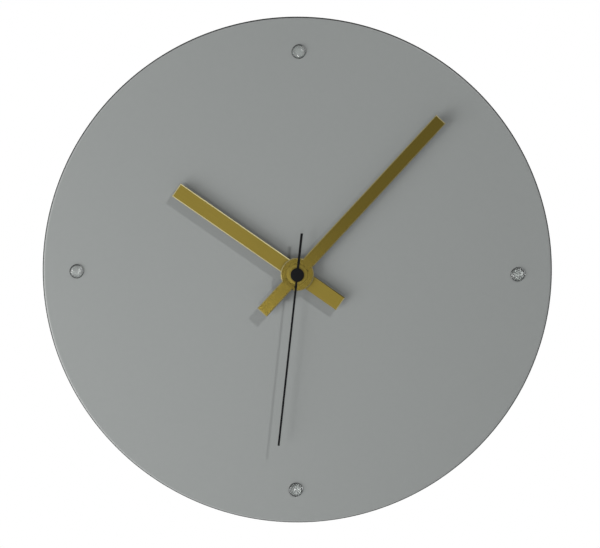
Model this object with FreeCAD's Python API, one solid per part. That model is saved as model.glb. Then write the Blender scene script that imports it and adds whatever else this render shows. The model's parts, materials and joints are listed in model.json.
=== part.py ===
"""Frameless round wall clock: grey plate, two flat hands, second hand and a quartz movement behind.

Millimetres. +Z is up, +X is right and the face looks along -Y. The origin lies on the hand axis in
the plane of the wall. Depths are counted from the wall towards the face, so a depth d is y = -d.
"""
import FreeCAD, Part
import math
import os

# Dial plate
PLATE_DIAMETER = 300.0
PLATE_THICKNESS = 4.0
PLATE_HOLE_CLEARANCE = 0.25
PLATE_FRONT_ROUND = 1.6
PLATE_REAR_ROUND = 0.4

# Hour markers, clear domed studs stuck on the plate
MARKER_EDGE_DISTANCE = 20.2
MARKER_DIAMETER = 8.4
MARKER_HEIGHT = 1.6
MARKER_SHOULDER_ROUND = 1.15
MARKER_CROWN_RADIUS = 18.0
MARKER_ROLL = 0.4
MARKER_HOURS = (12, 3, 6, 9)

# Hands
HOUR_ANGLE = 305.0
MINUTE_ANGLE = 42.6
SECOND_ANGLE = 186.2
HAND_THICKNESS = 1.0
HAND_CHAMFER = 0.55
HOUR_LENGTH = 86.2
HOUR_TAIL = 31.0
HOUR_WIDTH = 9.0
HOUR_EYE_DIAMETER = 19.0
MINUTE_LENGTH = 123.4
MINUTE_TAIL = 30.6
MINUTE_WIDTH = 7.5
MINUTE_EYE_DIAMETER = 19.5
SECOND_LENGTH = 102.0
SECOND_TAIL = 24.5
SECOND_WIDTH = 1.2
SECOND_TAIL_WIDTH = 1.4
SECOND_THICKNESS = 0.35
SECOND_BOSS_DIAMETER = 8.0
SECOND_BOSS_HEIGHT = 1.3
SECOND_BOSS_ROUND = 0.45
SECOND_SLEEVE_DIAMETER = 3.0
SECOND_SLEEVE_HEIGHT = 0.5
HAND_GAP = 0.7
HOUR_TO_MINUTE_GAP = 1.4
MINUTE_TO_SECOND_GAP = 0.45

# Collet and bush that hold the hands on their tubes
COLLET_FLANGE_DIAMETER = 9.4
COLLET_FLANGE_HEIGHT = 0.4
COLLET_BARREL_WALL = 0.75
COLLET_STAND = 0.25
BUSH_FLANGE_DIAMETER = 12.4
BUSH_FLANGE_HEIGHT = 0.5
BUSH_RING_DIAMETER = 9.2
BUSH_RING_HEIGHT = 0.4
BUSH_BARREL_WALL = 1.25

# Tubes and arbors
SECOND_ARBOR_DIAMETER = 1.0
MINUTE_TUBE_DIAMETER = 3.5
HOUR_TUBE_DIAMETER = 5.1
ARBOR_DIAMETER = 1.0
RUNNING_CLEARANCE = 0.05
ARBOR_END_PLAY = 0.15
SECOND_ARBOR_ENTRY = 0.8

# Threaded bush, nut and washers
BUSH_DIAMETER = 7.9
BUSH_COLLAR_DIAMETER = 11.0
BUSH_STANDOUT = 1.2
BUSH_CHAMFER = 0.3
NUT_ACROSS_FLATS = 12.0
NUT_THICKNESS = 2.2
NUT_CHAMFER = 0.35
FRONT_WASHER_DIAMETER = 16.0
FRONT_WASHER_THICKNESS = 0.6
RUBBER_WASHER_DIAMETER = 22.0
RUBBER_WASHER_THICKNESS = 1.0
BUSH_FIT_CLEARANCE = 0.1

# Movement case and cover
CASE_WALL = 1.3
FRONT_WALL = 1.2
CASE_CORNER_RADIUS = 3.0
CASE_EDGE_ROUND = 0.8
COVER_THICKNESS = 1.2
COVER_CORNER_RADIUS = 2.6
COVER_LIP_HEIGHT = 1.6
COVER_LIP_WALL = 1.0
COVER_CLEARANCE = 0.1
HOOK_WIDTH = 5.0
HOOK_THICKNESS = 1.0
HOOK_SIDE_INSET = 7.9
HOOK_BARB_DEPTH = 1.2
HOOK_BARB_REACH = 0.7
HOOK_RISE = 2.6
HOOK_WINDOW_CLEARANCE = 0.2
BAY_WALL = 1.0
BAY_CLEARANCE = 0.1
ROOM_CLEARANCE = 1.3
THUMB_NOTCH_RADIUS = 7.0

# Battery, size R6
CELL_DIAMETER = 14.2
CELL_LENGTH = 49.2
CELL_NUB_DIAMETER = 5.4
CELL_NUB_LENGTH = 1.1
CELL_SHOULDER_ROUND = 0.7
CELL_RECESS = 0.4
CONTACT_THICKNESS = 0.3
CONTACT_WIDTH = 5.0
CONTACT_SPRING_WIDTH = 7.0
CONTACT_SPRING_ROOM = 2.5

# Gear train: tooth counts, modules and places
TOOTH_TIP_SHARE = 0.10
TOOTH_ROOT_SHARE = 0.245
ADDENDUM_SHARE = 0.85
DEDENDUM_SHARE = 1.15
TRAIN_MODULE = 0.27
SECOND_PINION_TEETH = 8
THIRD_WHEEL_TEETH = 60
THIRD_PINION_TEETH = 8
CENTRE_WHEEL_TEETH = 64
INTERMEDIATE_PINION_TEETH = 12
SECOND_WHEEL_TEETH = 60
STEP_MODULE = 0.22
ROTOR_PINION_TEETH = 10
INTERMEDIATE_WHEEL_TEETH = 60
MOTION_MODULE = 0.30
CANNON_TEETH = 16
MINUTE_WHEEL_TEETH = 48
MINUTE_PINION_TEETH = 10
HOUR_WHEEL_TEETH = 40
KNOB_PINION_TEETH = 16
THIRD_DIRECTION = 60.0
INTERMEDIATE_DIRECTION = 150.0
ROTOR_DIRECTION = 110.0
MINUTE_WHEEL_DIRECTION = 25.0
KNOB_DIRECTION = -10.0

# Layers of the train, counted from the front wall back
WHEEL_THICKNESS = 0.8
WHEEL_LAYERS = 6
PINION_OVERHANG = 0.2
FRONT_LAYER_GAP = 0.4
MOTION_LAYER_GAP = 0.5
PLATE_LAYER_GAP = 0.4
TRAIN_PLATE_THICKNESS = 1.0
THIRD_LAYER_GAP = 0.6
SECOND_LAYER_GAP = 1.0
INTERMEDIATE_LAYER_GAP = 1.1
TRAIN_STANDOFF = 3.4
CLUTCH_SEAT_DIAMETER = 5.2

# Train plate, its posts and the bearing bosses
TRAIN_PLATE_SIDE_MARGIN = 2.2
TRAIN_PLATE_END_MARGIN = 0.7
TRAIN_PLATE_LOWER_MARGIN = 1.6
TRAIN_PLATE_CORNER = 2.0
POST_DIAMETER = 3.0
POST_INSET = 2.4
POST_SPIGOT_DIAMETER = 1.6
BOSS_WALL = 1.1
BOSS_FLOOR = 0.4
BOSS_GAP = 0.45

# Stepping motor
MAGNET_DIAMETER = 5.6
MAGNET_LENGTH = 2.0
MAGNET_GAP = 0.5
STATOR_THICKNESS = 0.8
STATOR_LEFT_REACH = 8.0
STATOR_LENGTH = 29.0
STATOR_BAR_DROP = 2.3
STATOR_BAR_RISE = 3.9
STATOR_LEG_WIDTH = 3.5
STATOR_LOBE_WALL = 1.7
STATOR_NOTCH_RADIUS = 0.4
CORE_THICKNESS = 0.8
CORE_WIDTH = 2.6
COIL_TOP_GAP = 1.1
BOBBIN_WALL = 0.5
BOBBIN_FLANGE = 0.7
BOBBIN_FLANGE_RADIUS = 3.2
WINDING_RADIUS = 2.8
BOBBIN_END_GAP = 0.2

# Electronics
BOARD_LEFT_GAP = 1.0
BOARD_BOTTOM_GAP = 1.6
BOARD_THICKNESS = 1.0
BOARD_STANDOFF = 2.4
BOARD_POST_DIAMETER = 2.4
BOARD_POST_INSET = 2.6
CHIP_RADIUS = 2.4
CHIP_HEIGHT = 1.0
CHIP_SHIFT = 2.6
CRYSTAL_RADIUS = 1.0
CRYSTAL_LENGTH = 6.0
CRYSTAL_SHIFT = 4.4

# Setting knob
KNOB_DIAMETER = 10.0
KNOB_HEIGHT = 2.4
KNOB_RECESS = 0.3
KNOB_FLUTES = 12
KNOB_FLUTE_RADIUS = 0.7
KNOB_WELL_CLEARANCE = 0.6
KNOB_WELL_WALL = 0.8
KNOB_SHAFT_DIAMETER = 2.4
KNOB_PINION_SEAT_SHARE = 0.7

# Hanger
HANGER_WIDTH = 22.0
HANGER_RISE = 12.0
HANGER_THICKNESS = 2.2
HANGER_RECESS = 0.3
HANGER_CORNER_RADIUS = 6.0
HANGER_FOOT_DEPTH = 6.0
HANGER_FOOT_HEIGHT = 1.6
HANG_HOLE_RADIUS = 3.2
HANG_HOLE_ABOVE_CASE = 6.2
PRONG_WIDTH = 3.0
PRONG_DEPTH = 1.8
PRONG_SPACING = 14.0
PRONG_BACK = 3.2

# One overrun for every cut that goes right through
OVERRUN = 1.0


def place(x, z, depth):
    """Point at x, z and a depth from the wall."""
    return FreeCAD.Vector(x, -depth, z)


def disc(centre, radius, rear, front):
    """Round solid on an axis along the depth."""
    start = place(centre[0], centre[1], rear)
    return Part.makeCylinder(radius, front - rear, start, FreeCAD.Vector(0, -1, 0))


def block(left, right, bottom, top, rear, front):
    """Box between two x, two z and two depths."""
    corner = place(left, bottom, front)
    return Part.makeBox(right - left, front - rear, top - bottom, corner)


def prism(points, rear, front):
    """Polygon of x, z points, extruded from one depth to another."""
    corners = [place(x, z, rear) for x, z in points]
    corners.append(corners[0])
    face = Part.Face(Part.makePolygon(corners))
    return face.extrude(FreeCAD.Vector(0, rear - front, 0))


def along_depth(edge):
    """True for a straight edge that runs along the depth."""
    first = edge.Vertexes[0].Point
    last = edge.Vertexes[-1].Point
    step = last - first
    return abs(step.y) > abs(step.x) + abs(step.z)


def at_depth(shape, depth):
    """Edges that lie wholly at one depth."""
    return [edge for edge in shape.Edges if depth_span(edge, depth) < RUNNING_CLEARANCE]


def depth_span(edge, depth):
    """Largest distance of an edge's box from a depth."""
    box = edge.BoundBox
    return max(abs(-box.YMin - depth), abs(-box.YMax - depth))


def rounded_block(left, right, bottom, top, rear, front, radius):
    """Box with its four long corners rounded."""
    body = block(left, right, bottom, top, rear, front)
    return body.makeFillet(radius, [edge for edge in body.Edges if along_depth(edge)])


def polar(centre, distance, degrees):
    """Point at a distance and direction from another, in x and z."""
    turn = math.radians(degrees)
    return (centre[0] + distance * math.cos(turn), centre[1] + distance * math.sin(turn))


def clock_turn(shape, degrees):
    """Shape turned clockwise about the hand axis, as seen from the front."""
    shape.rotate(FreeCAD.Vector(0, 0, 0), FreeCAD.Vector(0, 1, 0), degrees)
    return shape


def tooth_outline(centre, teeth, module, phase):
    """Outline of a gear with straight-flanked teeth, one tooth centred at phase degrees."""
    pitch_radius = module * teeth / 2
    tip_radius = pitch_radius + ADDENDUM_SHARE * module
    root_radius = pitch_radius - DEDENDUM_SHARE * module
    tooth_angle = 360.0 / teeth
    points = []
    for index in range(teeth):
        middle = phase + index * tooth_angle
        points.append(polar(centre, root_radius, middle - TOOTH_ROOT_SHARE * tooth_angle))
        points.append(polar(centre, tip_radius, middle - TOOTH_TIP_SHARE * tooth_angle))
        points.append(polar(centre, tip_radius, middle + TOOTH_TIP_SHARE * tooth_angle))
        points.append(polar(centre, root_radius, middle + TOOTH_ROOT_SHARE * tooth_angle))
    return points


def gear(centre, teeth, module, phase, rear, front):
    """Toothed disc between two depths."""
    return prism(tooth_outline(centre, teeth, module, phase), rear, front)


def meshing_phase(phase, teeth, direction, other_teeth):
    """Phase of the gear that lies in a direction from a gear, so that their teeth mesh."""
    along = (direction - phase) * teeth / 360.0
    return direction + 180.0 - (0.5 - along) * 360.0 / other_teeth


def distance(module, teeth, other_teeth):
    """Centre distance of a pair of gears."""
    return module * (teeth + other_teeth) / 2


def tip_reach(module, teeth):
    """Radius over the tips of a gear."""
    return module * teeth / 2 + ADDENDUM_SHARE * module


def module_for(spacing, teeth, other_teeth):
    """Module that gives a pair of gears a centre distance."""
    return 2 * spacing / (teeth + other_teeth)


# Places of the arbors, and the modules that follow from shared centre distances
AXIS = (0.0, 0.0)
THIRD_DISTANCE = distance(TRAIN_MODULE, SECOND_PINION_TEETH, THIRD_WHEEL_TEETH)
CENTRE_MODULE = module_for(THIRD_DISTANCE, THIRD_PINION_TEETH, CENTRE_WHEEL_TEETH)
THIRD_PLACE = polar(AXIS, THIRD_DISTANCE, THIRD_DIRECTION)
INTERMEDIATE_DISTANCE = distance(TRAIN_MODULE, INTERMEDIATE_PINION_TEETH, SECOND_WHEEL_TEETH)
INTERMEDIATE_PLACE = polar(AXIS, INTERMEDIATE_DISTANCE, INTERMEDIATE_DIRECTION)
ROTOR_DISTANCE = distance(STEP_MODULE, ROTOR_PINION_TEETH, INTERMEDIATE_WHEEL_TEETH)
ROTOR_PLACE = polar(INTERMEDIATE_PLACE, ROTOR_DISTANCE, ROTOR_DIRECTION)
MINUTE_WHEEL_DISTANCE = distance(MOTION_MODULE, CANNON_TEETH, MINUTE_WHEEL_TEETH)
HOUR_MODULE = module_for(MINUTE_WHEEL_DISTANCE, MINUTE_PINION_TEETH, HOUR_WHEEL_TEETH)
MINUTE_WHEEL_PLACE = polar(AXIS, MINUTE_WHEEL_DISTANCE, MINUTE_WHEEL_DIRECTION)
KNOB_DISTANCE = distance(MOTION_MODULE, KNOB_PINION_TEETH, MINUTE_WHEEL_TEETH)
KNOB_PLACE = polar(MINUTE_WHEEL_PLACE, KNOB_DISTANCE, KNOB_DIRECTION)

# Depths, from the wall plane towards the face: the room holds the train and the cell
TRAIN_ROOM = (
    COVER_THICKNESS
    + TRAIN_STANDOFF
    + WHEEL_LAYERS * WHEEL_THICKNESS
    + TRAIN_PLATE_THICKNESS
    + FRONT_LAYER_GAP
    + MOTION_LAYER_GAP
    + 2 * PLATE_LAYER_GAP
    + THIRD_LAYER_GAP
    + SECOND_LAYER_GAP
    + INTERMEDIATE_LAYER_GAP
)
CELL_ROOM = CELL_RECESS + CELL_DIAMETER + 2 * BAY_CLEARANCE
FRONT_INNER = max(TRAIN_ROOM, CELL_ROOM)
CASE_DEPTH = FRONT_INNER + FRONT_WALL
PLATE_REAR = CASE_DEPTH + RUBBER_WASHER_THICKNESS
PLATE_FRONT = PLATE_REAR + PLATE_THICKNESS
WASHER_FRONT = PLATE_FRONT + FRONT_WASHER_THICKNESS
NUT_FRONT = WASHER_FRONT + NUT_THICKNESS
BUSH_FRONT = NUT_FRONT + BUSH_STANDOUT
HOUR_REAR = BUSH_FRONT + HAND_GAP
HOUR_FRONT = HOUR_REAR + HAND_THICKNESS
HOUR_TUBE_FRONT = HOUR_FRONT + COLLET_STAND
MINUTE_REAR = HOUR_FRONT + HOUR_TO_MINUTE_GAP
MINUTE_FRONT = MINUTE_REAR + HAND_THICKNESS
MINUTE_BUSH_FRONT = MINUTE_FRONT + BUSH_FLANGE_HEIGHT + BUSH_RING_HEIGHT
SLEEVE_REAR = MINUTE_BUSH_FRONT + MINUTE_TO_SECOND_GAP
SECOND_REAR = SLEEVE_REAR + SECOND_SLEEVE_HEIGHT
SECOND_FRONT = SECOND_REAR + SECOND_THICKNESS
BOSS_FRONT = SECOND_FRONT + SECOND_BOSS_HEIGHT
SECOND_ARBOR_FRONT = SECOND_FRONT + SECOND_ARBOR_ENTRY

HOUR_WHEEL_FRONT = FRONT_INNER - FRONT_LAYER_GAP
HOUR_WHEEL_REAR = HOUR_WHEEL_FRONT - WHEEL_THICKNESS
MINUTE_WHEEL_FRONT = HOUR_WHEEL_REAR - MOTION_LAYER_GAP
MINUTE_WHEEL_REAR = MINUTE_WHEEL_FRONT - WHEEL_THICKNESS
TRAIN_PLATE_FRONT = MINUTE_WHEEL_REAR - PLATE_LAYER_GAP
TRAIN_PLATE_REAR = TRAIN_PLATE_FRONT - TRAIN_PLATE_THICKNESS
CENTRE_WHEEL_FRONT = TRAIN_PLATE_REAR - PLATE_LAYER_GAP
CENTRE_WHEEL_REAR = CENTRE_WHEEL_FRONT - WHEEL_THICKNESS
THIRD_WHEEL_FRONT = CENTRE_WHEEL_REAR - THIRD_LAYER_GAP
THIRD_WHEEL_REAR = THIRD_WHEEL_FRONT - WHEEL_THICKNESS
SECOND_WHEEL_FRONT = THIRD_WHEEL_REAR - SECOND_LAYER_GAP
SECOND_WHEEL_REAR = SECOND_WHEEL_FRONT - WHEEL_THICKNESS
INTERMEDIATE_WHEEL_FRONT = SECOND_WHEEL_REAR - INTERMEDIATE_LAYER_GAP
INTERMEDIATE_WHEEL_REAR = INTERMEDIATE_WHEEL_FRONT - WHEEL_THICKNESS
ROTOR_PINION_REAR = INTERMEDIATE_WHEEL_REAR - PINION_OVERHANG
ROTOR_PINION_FRONT = INTERMEDIATE_WHEEL_FRONT + PINION_OVERHANG
MAGNET_REAR = ROTOR_PINION_FRONT + MAGNET_GAP
MAGNET_FRONT = MAGNET_REAR + MAGNET_LENGTH
STATOR_REAR = (MAGNET_REAR + MAGNET_FRONT) / 2 - STATOR_THICKNESS / 2
STATOR_FRONT = STATOR_REAR + STATOR_THICKNESS
CORE_REAR = STATOR_REAR - CORE_THICKNESS
BOARD_REAR = COVER_THICKNESS + BOARD_STANDOFF
BOARD_FRONT = BOARD_REAR + BOARD_THICKNESS

# Phases, each worked out from the gear that it meshes with
SECOND_PHASE = 0.0
THIRD_PHASE = meshing_phase(SECOND_PHASE, SECOND_PINION_TEETH, THIRD_DIRECTION, THIRD_WHEEL_TEETH)
CENTRE_PHASE = meshing_phase(
    THIRD_PHASE, THIRD_PINION_TEETH, THIRD_DIRECTION + 180.0, CENTRE_WHEEL_TEETH
)
INTERMEDIATE_PHASE = meshing_phase(
    SECOND_PHASE, SECOND_WHEEL_TEETH, INTERMEDIATE_DIRECTION, INTERMEDIATE_PINION_TEETH
)
ROTOR_PHASE = meshing_phase(
    INTERMEDIATE_PHASE, INTERMEDIATE_WHEEL_TEETH, ROTOR_DIRECTION, ROTOR_PINION_TEETH
)
CANNON_PHASE = 0.0
MINUTE_WHEEL_PHASE = meshing_phase(
    CANNON_PHASE, CANNON_TEETH, MINUTE_WHEEL_DIRECTION, MINUTE_WHEEL_TEETH
)
HOUR_WHEEL_PHASE = meshing_phase(
    MINUTE_WHEEL_PHASE, MINUTE_PINION_TEETH, MINUTE_WHEEL_DIRECTION + 180.0, HOUR_WHEEL_TEETH
)
KNOB_PHASE = meshing_phase(
    MINUTE_WHEEL_PHASE, MINUTE_WHEEL_TEETH, KNOB_DIRECTION, KNOB_PINION_TEETH
)

# Size of the case, from what it holds: the cell below, the train and the knob above
TRAIN_PLATE_LEFT = (
    INTERMEDIATE_PLACE[0] - tip_reach(STEP_MODULE, INTERMEDIATE_WHEEL_TEETH)
    - TRAIN_PLATE_SIDE_MARGIN
)
TRAIN_PLATE_RIGHT = (
    KNOB_PLACE[0] + tip_reach(MOTION_MODULE, KNOB_PINION_TEETH) + TRAIN_PLATE_END_MARGIN
)
TRAIN_PLATE_BOTTOM = -tip_reach(TRAIN_MODULE, SECOND_WHEEL_TEETH) - TRAIN_PLATE_LOWER_MARGIN
TRAIN_PLATE_TOP = (
    THIRD_PLACE[1] + tip_reach(TRAIN_MODULE, THIRD_WHEEL_TEETH) + TRAIN_PLATE_END_MARGIN
)
KNOB_WELL_RADIUS = KNOB_DIAMETER / 2 + KNOB_WELL_CLEARANCE
CELL_NEED = CELL_LENGTH + CELL_NUB_LENGTH + 2 * CONTACT_THICKNESS + CONTACT_SPRING_ROOM
KNOB_NEED = 2 * (KNOB_PLACE[0] + KNOB_WELL_RADIUS + KNOB_WELL_WALL + ROOM_CLEARANCE)
CASE_SIDE = max(CELL_NEED, KNOB_NEED) / 2 + CASE_WALL
CASE_TOP = (
    CASE_WALL
    + CELL_DIAMETER
    + 2 * BAY_CLEARANCE
    + BAY_WALL
    + ROOM_CLEARANCE
    - TRAIN_PLATE_BOTTOM
)

# Lines that several pieces share
MARKER_PITCH_RADIUS = PLATE_DIAMETER / 2 - MARKER_EDGE_DISTANCE
STATOR_LEFT = ROTOR_PLACE[0] - STATOR_LEFT_REACH
STATOR_RIGHT = STATOR_LEFT + STATOR_LENGTH
STATOR_BAR_BOTTOM = ROTOR_PLACE[1] - STATOR_BAR_DROP
STATOR_BAR_TOP = ROTOR_PLACE[1] + STATOR_BAR_RISE
COIL_AXIS_HEIGHT = CASE_TOP - CASE_WALL - COIL_TOP_GAP - BOBBIN_FLANGE_RADIUS
BOARD_LEFT = (
    THIRD_PLACE[0] + tip_reach(TRAIN_MODULE, THIRD_WHEEL_TEETH) + BOARD_LEFT_GAP
)
BOARD_RIGHT = CASE_SIDE - CASE_WALL - ROOM_CLEARANCE
BOARD_TOP = CASE_TOP - CASE_WALL - ROOM_CLEARANCE
BOARD_BOTTOM = KNOB_PLACE[1] + KNOB_WELL_RADIUS + KNOB_WELL_WALL + BOARD_BOTTOM_GAP
BAY_BOTTOM = CASE_WALL - CASE_TOP
BAY_TOP = BAY_BOTTOM + CELL_DIAMETER + 2 * BAY_CLEARANCE
ROOM_BOTTOM = BAY_TOP + BAY_WALL
CELL_HEIGHT = (BAY_BOTTOM + BAY_TOP) / 2
CELL_DEPTH = FRONT_INNER - BAY_CLEARANCE - CELL_DIAMETER / 2
PIVOT_FLOOR = COVER_THICKNESS + BOSS_FLOOR
KNOB_WELL_FLOOR = KNOB_RECESS + KNOB_HEIGHT + BOSS_GAP
POST_PLACES = [
    (TRAIN_PLATE_LEFT + POST_INSET, TRAIN_PLATE_BOTTOM + POST_INSET),
    (TRAIN_PLATE_RIGHT - POST_INSET, TRAIN_PLATE_BOTTOM + POST_INSET),
    (TRAIN_PLATE_LEFT + POST_INSET, TRAIN_PLATE_TOP - POST_INSET),
    (TRAIN_PLATE_RIGHT - POST_INSET, TRAIN_PLATE_TOP - POST_INSET),
]
STATOR_LEGS = [
    (STATOR_LEFT + STATOR_LEG_WIDTH / 2, COIL_AXIS_HEIGHT),
    (STATOR_RIGHT - STATOR_LEG_WIDTH / 2, COIL_AXIS_HEIGHT),
]
BOARD_POSTS = [
    (BOARD_LEFT + BOARD_POST_INSET, BOARD_TOP - BOARD_POST_INSET),
    (BOARD_RIGHT - BOARD_POST_INSET, BOARD_BOTTOM + BOARD_POST_INSET),
]
PRONG_PLACES = [-PRONG_SPACING / 2, PRONG_SPACING / 2]
HOOK_PLACES = [HOOK_SIDE_INSET - CASE_SIDE, CASE_SIDE - HOOK_SIDE_INSET]
HOOK_TOP = COVER_THICKNESS + COVER_LIP_HEIGHT + HOOK_RISE


def dial_plate():
    """Round plate with ground edges and the hole for the bush."""
    plate = disc(AXIS, PLATE_DIAMETER / 2, PLATE_REAR, PLATE_FRONT)
    plate = plate.makeFillet(PLATE_FRONT_ROUND, at_depth(plate, PLATE_FRONT))
    plate = plate.makeFillet(PLATE_REAR_ROUND, at_depth(plate, PLATE_REAR))
    hole = BUSH_DIAMETER / 2 + PLATE_HOLE_CLEARANCE
    return plate.cut(disc(AXIS, hole, PLATE_REAR - OVERRUN, PLATE_FRONT + OVERRUN))


def hour_marker(hour):
    """Domed stud at an hour: a wall, a round shoulder tangent to it and a low spherical crown."""
    base = MARKER_DIAMETER / 2
    inner = base - MARKER_SHOULDER_ROUND
    crown_centre = PLATE_FRONT + MARKER_HEIGHT - MARKER_CROWN_RADIUS
    reach = MARKER_CROWN_RADIUS - MARKER_SHOULDER_ROUND
    shoulder = crown_centre + math.sqrt(reach ** 2 - inner ** 2)
    lean = math.acos(inner / reach)
    floor = place(0, 0, PLATE_FRONT)
    rim = place(base, 0, PLATE_FRONT)
    wall_top = place(base, 0, shoulder)
    bulge = place(*around(inner, shoulder, MARKER_SHOULDER_ROUND, lean / 2))
    crown_edge = place(*around(0, crown_centre, MARKER_CROWN_RADIUS, lean))
    crown_middle = place(*around(0, crown_centre, MARKER_CROWN_RADIUS, (lean + math.pi / 2) / 2))
    top = place(0, 0, PLATE_FRONT + MARKER_HEIGHT)
    edges = [
        Part.LineSegment(floor, rim).toShape(),
        Part.LineSegment(rim, wall_top).toShape(),
        Part.Arc(wall_top, bulge, crown_edge).toShape(),
        Part.Arc(crown_edge, crown_middle, top).toShape(),
        Part.LineSegment(top, floor).toShape(),
    ]
    profile = Part.Face(Part.Wire(edges))
    stud = profile.revolve(FreeCAD.Vector(0, 0, 0), FreeCAD.Vector(0, 1, 0), 360)
    stud.translate(FreeCAD.Vector(0, 0, MARKER_PITCH_RADIUS))
    return clock_turn(stud, hour * 30.0 + MARKER_ROLL)


def around(x, depth, radius, angle):
    """x, z and depth of a point on an arc round a point of the profile, at an angle from x."""
    return x + radius * math.cos(angle), 0, depth + radius * math.sin(angle)


def flat_hand(length, tail, width, eye_diameter, bore, rear):
    """Stamped hand pointing up: bar with square ends, round eye and chamfered front edges."""
    front = rear + HAND_THICKNESS
    bar = block(-width / 2, width / 2, -tail, length, rear, front)
    hand = bar.fuse(disc(AXIS, eye_diameter / 2, rear, front)).removeSplitter()
    hand = hand.makeChamfer(HAND_CHAMFER, at_depth(hand, front))
    return hand.cut(disc(AXIS, bore, rear - OVERRUN, front + OVERRUN))


def hour_hand():
    """Hour hand, turned to its hour."""
    bore = HOUR_TUBE_DIAMETER / 2 + COLLET_BARREL_WALL
    hand = flat_hand(HOUR_LENGTH, HOUR_TAIL, HOUR_WIDTH, HOUR_EYE_DIAMETER, bore, HOUR_REAR)
    return clock_turn(hand, HOUR_ANGLE)


def hour_hand_collet():
    """Flanged collet pressed through the hour hand from behind."""
    tube = HOUR_TUBE_DIAMETER / 2
    flange = disc(AXIS, COLLET_FLANGE_DIAMETER / 2, HOUR_REAR - COLLET_FLANGE_HEIGHT, HOUR_REAR)
    barrel = disc(AXIS, tube + COLLET_BARREL_WALL, HOUR_REAR, HOUR_TUBE_FRONT)
    collet = flange.fuse(barrel).removeSplitter()
    return collet.cut(disc(AXIS, tube, HOUR_REAR - OVERRUN, HOUR_TUBE_FRONT + OVERRUN))


def minute_hand():
    """Minute hand, turned to its minute."""
    bore = MINUTE_TUBE_DIAMETER / 2 + BUSH_BARREL_WALL
    hand = flat_hand(
        MINUTE_LENGTH, MINUTE_TAIL, MINUTE_WIDTH, MINUTE_EYE_DIAMETER, bore, MINUTE_REAR
    )
    return clock_turn(hand, MINUTE_ANGLE)


def minute_hand_bush():
    """Stepped bush in the minute hand's eye, with a flange and a raised ring in front."""
    tube = MINUTE_TUBE_DIAMETER / 2
    flange_front = MINUTE_FRONT + BUSH_FLANGE_HEIGHT
    bush = disc(AXIS, tube + BUSH_BARREL_WALL, MINUTE_REAR, MINUTE_FRONT)
    bush = bush.fuse(disc(AXIS, BUSH_FLANGE_DIAMETER / 2, MINUTE_FRONT, flange_front))
    bush = bush.fuse(disc(AXIS, BUSH_RING_DIAMETER / 2, flange_front, MINUTE_BUSH_FRONT))
    return bush.removeSplitter().cut(
        disc(AXIS, tube, MINUTE_REAR - OVERRUN, MINUTE_BUSH_FRONT + OVERRUN)
    )


def second_hand():
    """Thin blade with a slightly wider tail, and a small eye under the boss."""
    front = SECOND_FRONT
    blade = block(-SECOND_WIDTH / 2, SECOND_WIDTH / 2, 0, SECOND_LENGTH, SECOND_REAR, front)
    tail = block(
        -SECOND_TAIL_WIDTH / 2, SECOND_TAIL_WIDTH / 2, -SECOND_TAIL, 0, SECOND_REAR, front
    )
    eye = disc(AXIS, SECOND_SLEEVE_DIAMETER / 2, SECOND_REAR, front)
    hand = blade.fuse([tail, eye]).removeSplitter()
    hand = hand.cut(
        disc(AXIS, SECOND_ARBOR_DIAMETER / 2, SECOND_REAR - OVERRUN, front + OVERRUN)
    )
    return clock_turn(hand, SECOND_ANGLE)


def second_hand_boss():
    """Round black boss over the end of the second arbor."""
    boss = disc(AXIS, SECOND_BOSS_DIAMETER / 2, SECOND_FRONT, BOSS_FRONT)
    boss = boss.makeFillet(SECOND_BOSS_ROUND, at_depth(boss, BOSS_FRONT))
    return boss.cut(
        disc(AXIS, SECOND_ARBOR_DIAMETER / 2, SECOND_FRONT - OVERRUN, SECOND_ARBOR_FRONT)
    )


def second_hand_sleeve():
    """Short sleeve behind the second hand, pressed on its arbor."""
    sleeve = disc(AXIS, SECOND_SLEEVE_DIAMETER / 2, SLEEVE_REAR, SECOND_REAR)
    return sleeve.cut(
        disc(AXIS, SECOND_ARBOR_DIAMETER / 2, SLEEVE_REAR - OVERRUN, SECOND_REAR + OVERRUN)
    )


def threaded_bush():
    """Bush that carries the tubes, with a collar fixed in the front wall."""
    bush = disc(AXIS, BUSH_DIAMETER / 2, FRONT_INNER, BUSH_FRONT)
    bush = bush.makeChamfer(BUSH_CHAMFER, at_depth(bush, BUSH_FRONT))
    bush = bush.fuse(disc(AXIS, BUSH_COLLAR_DIAMETER / 2, FRONT_INNER, CASE_DEPTH))
    bore = HOUR_TUBE_DIAMETER / 2 + RUNNING_CLEARANCE
    return bush.removeSplitter().cut(
        disc(AXIS, bore, FRONT_INNER - OVERRUN, BUSH_FRONT + OVERRUN)
    )


def bush_nut():
    """Thin hexagon nut that clamps the plate."""
    radius = NUT_ACROSS_FLATS / math.sqrt(3)
    corners = [polar(AXIS, radius, 60.0 * index) for index in range(6)]
    nut = prism(corners, WASHER_FRONT, NUT_FRONT)
    cone = Part.makeCone(
        radius + NUT_THICKNESS,
        radius - NUT_CHAMFER,
        NUT_THICKNESS + NUT_CHAMFER,
        place(0, 0, WASHER_FRONT - NUT_CHAMFER),
        FreeCAD.Vector(0, -1, 0),
    )
    nut = nut.common(cone)
    bore = BUSH_DIAMETER / 2
    return nut.cut(disc(AXIS, bore, WASHER_FRONT - OVERRUN, NUT_FRONT + OVERRUN))


def washer(diameter, rear, front):
    """Flat washer that slips over the bush."""
    bore = BUSH_DIAMETER / 2 + BUSH_FIT_CLEARANCE
    return disc(AXIS, diameter / 2, rear, front).cut(
        disc(AXIS, bore, rear - OVERRUN, front + OVERRUN)
    )


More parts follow.
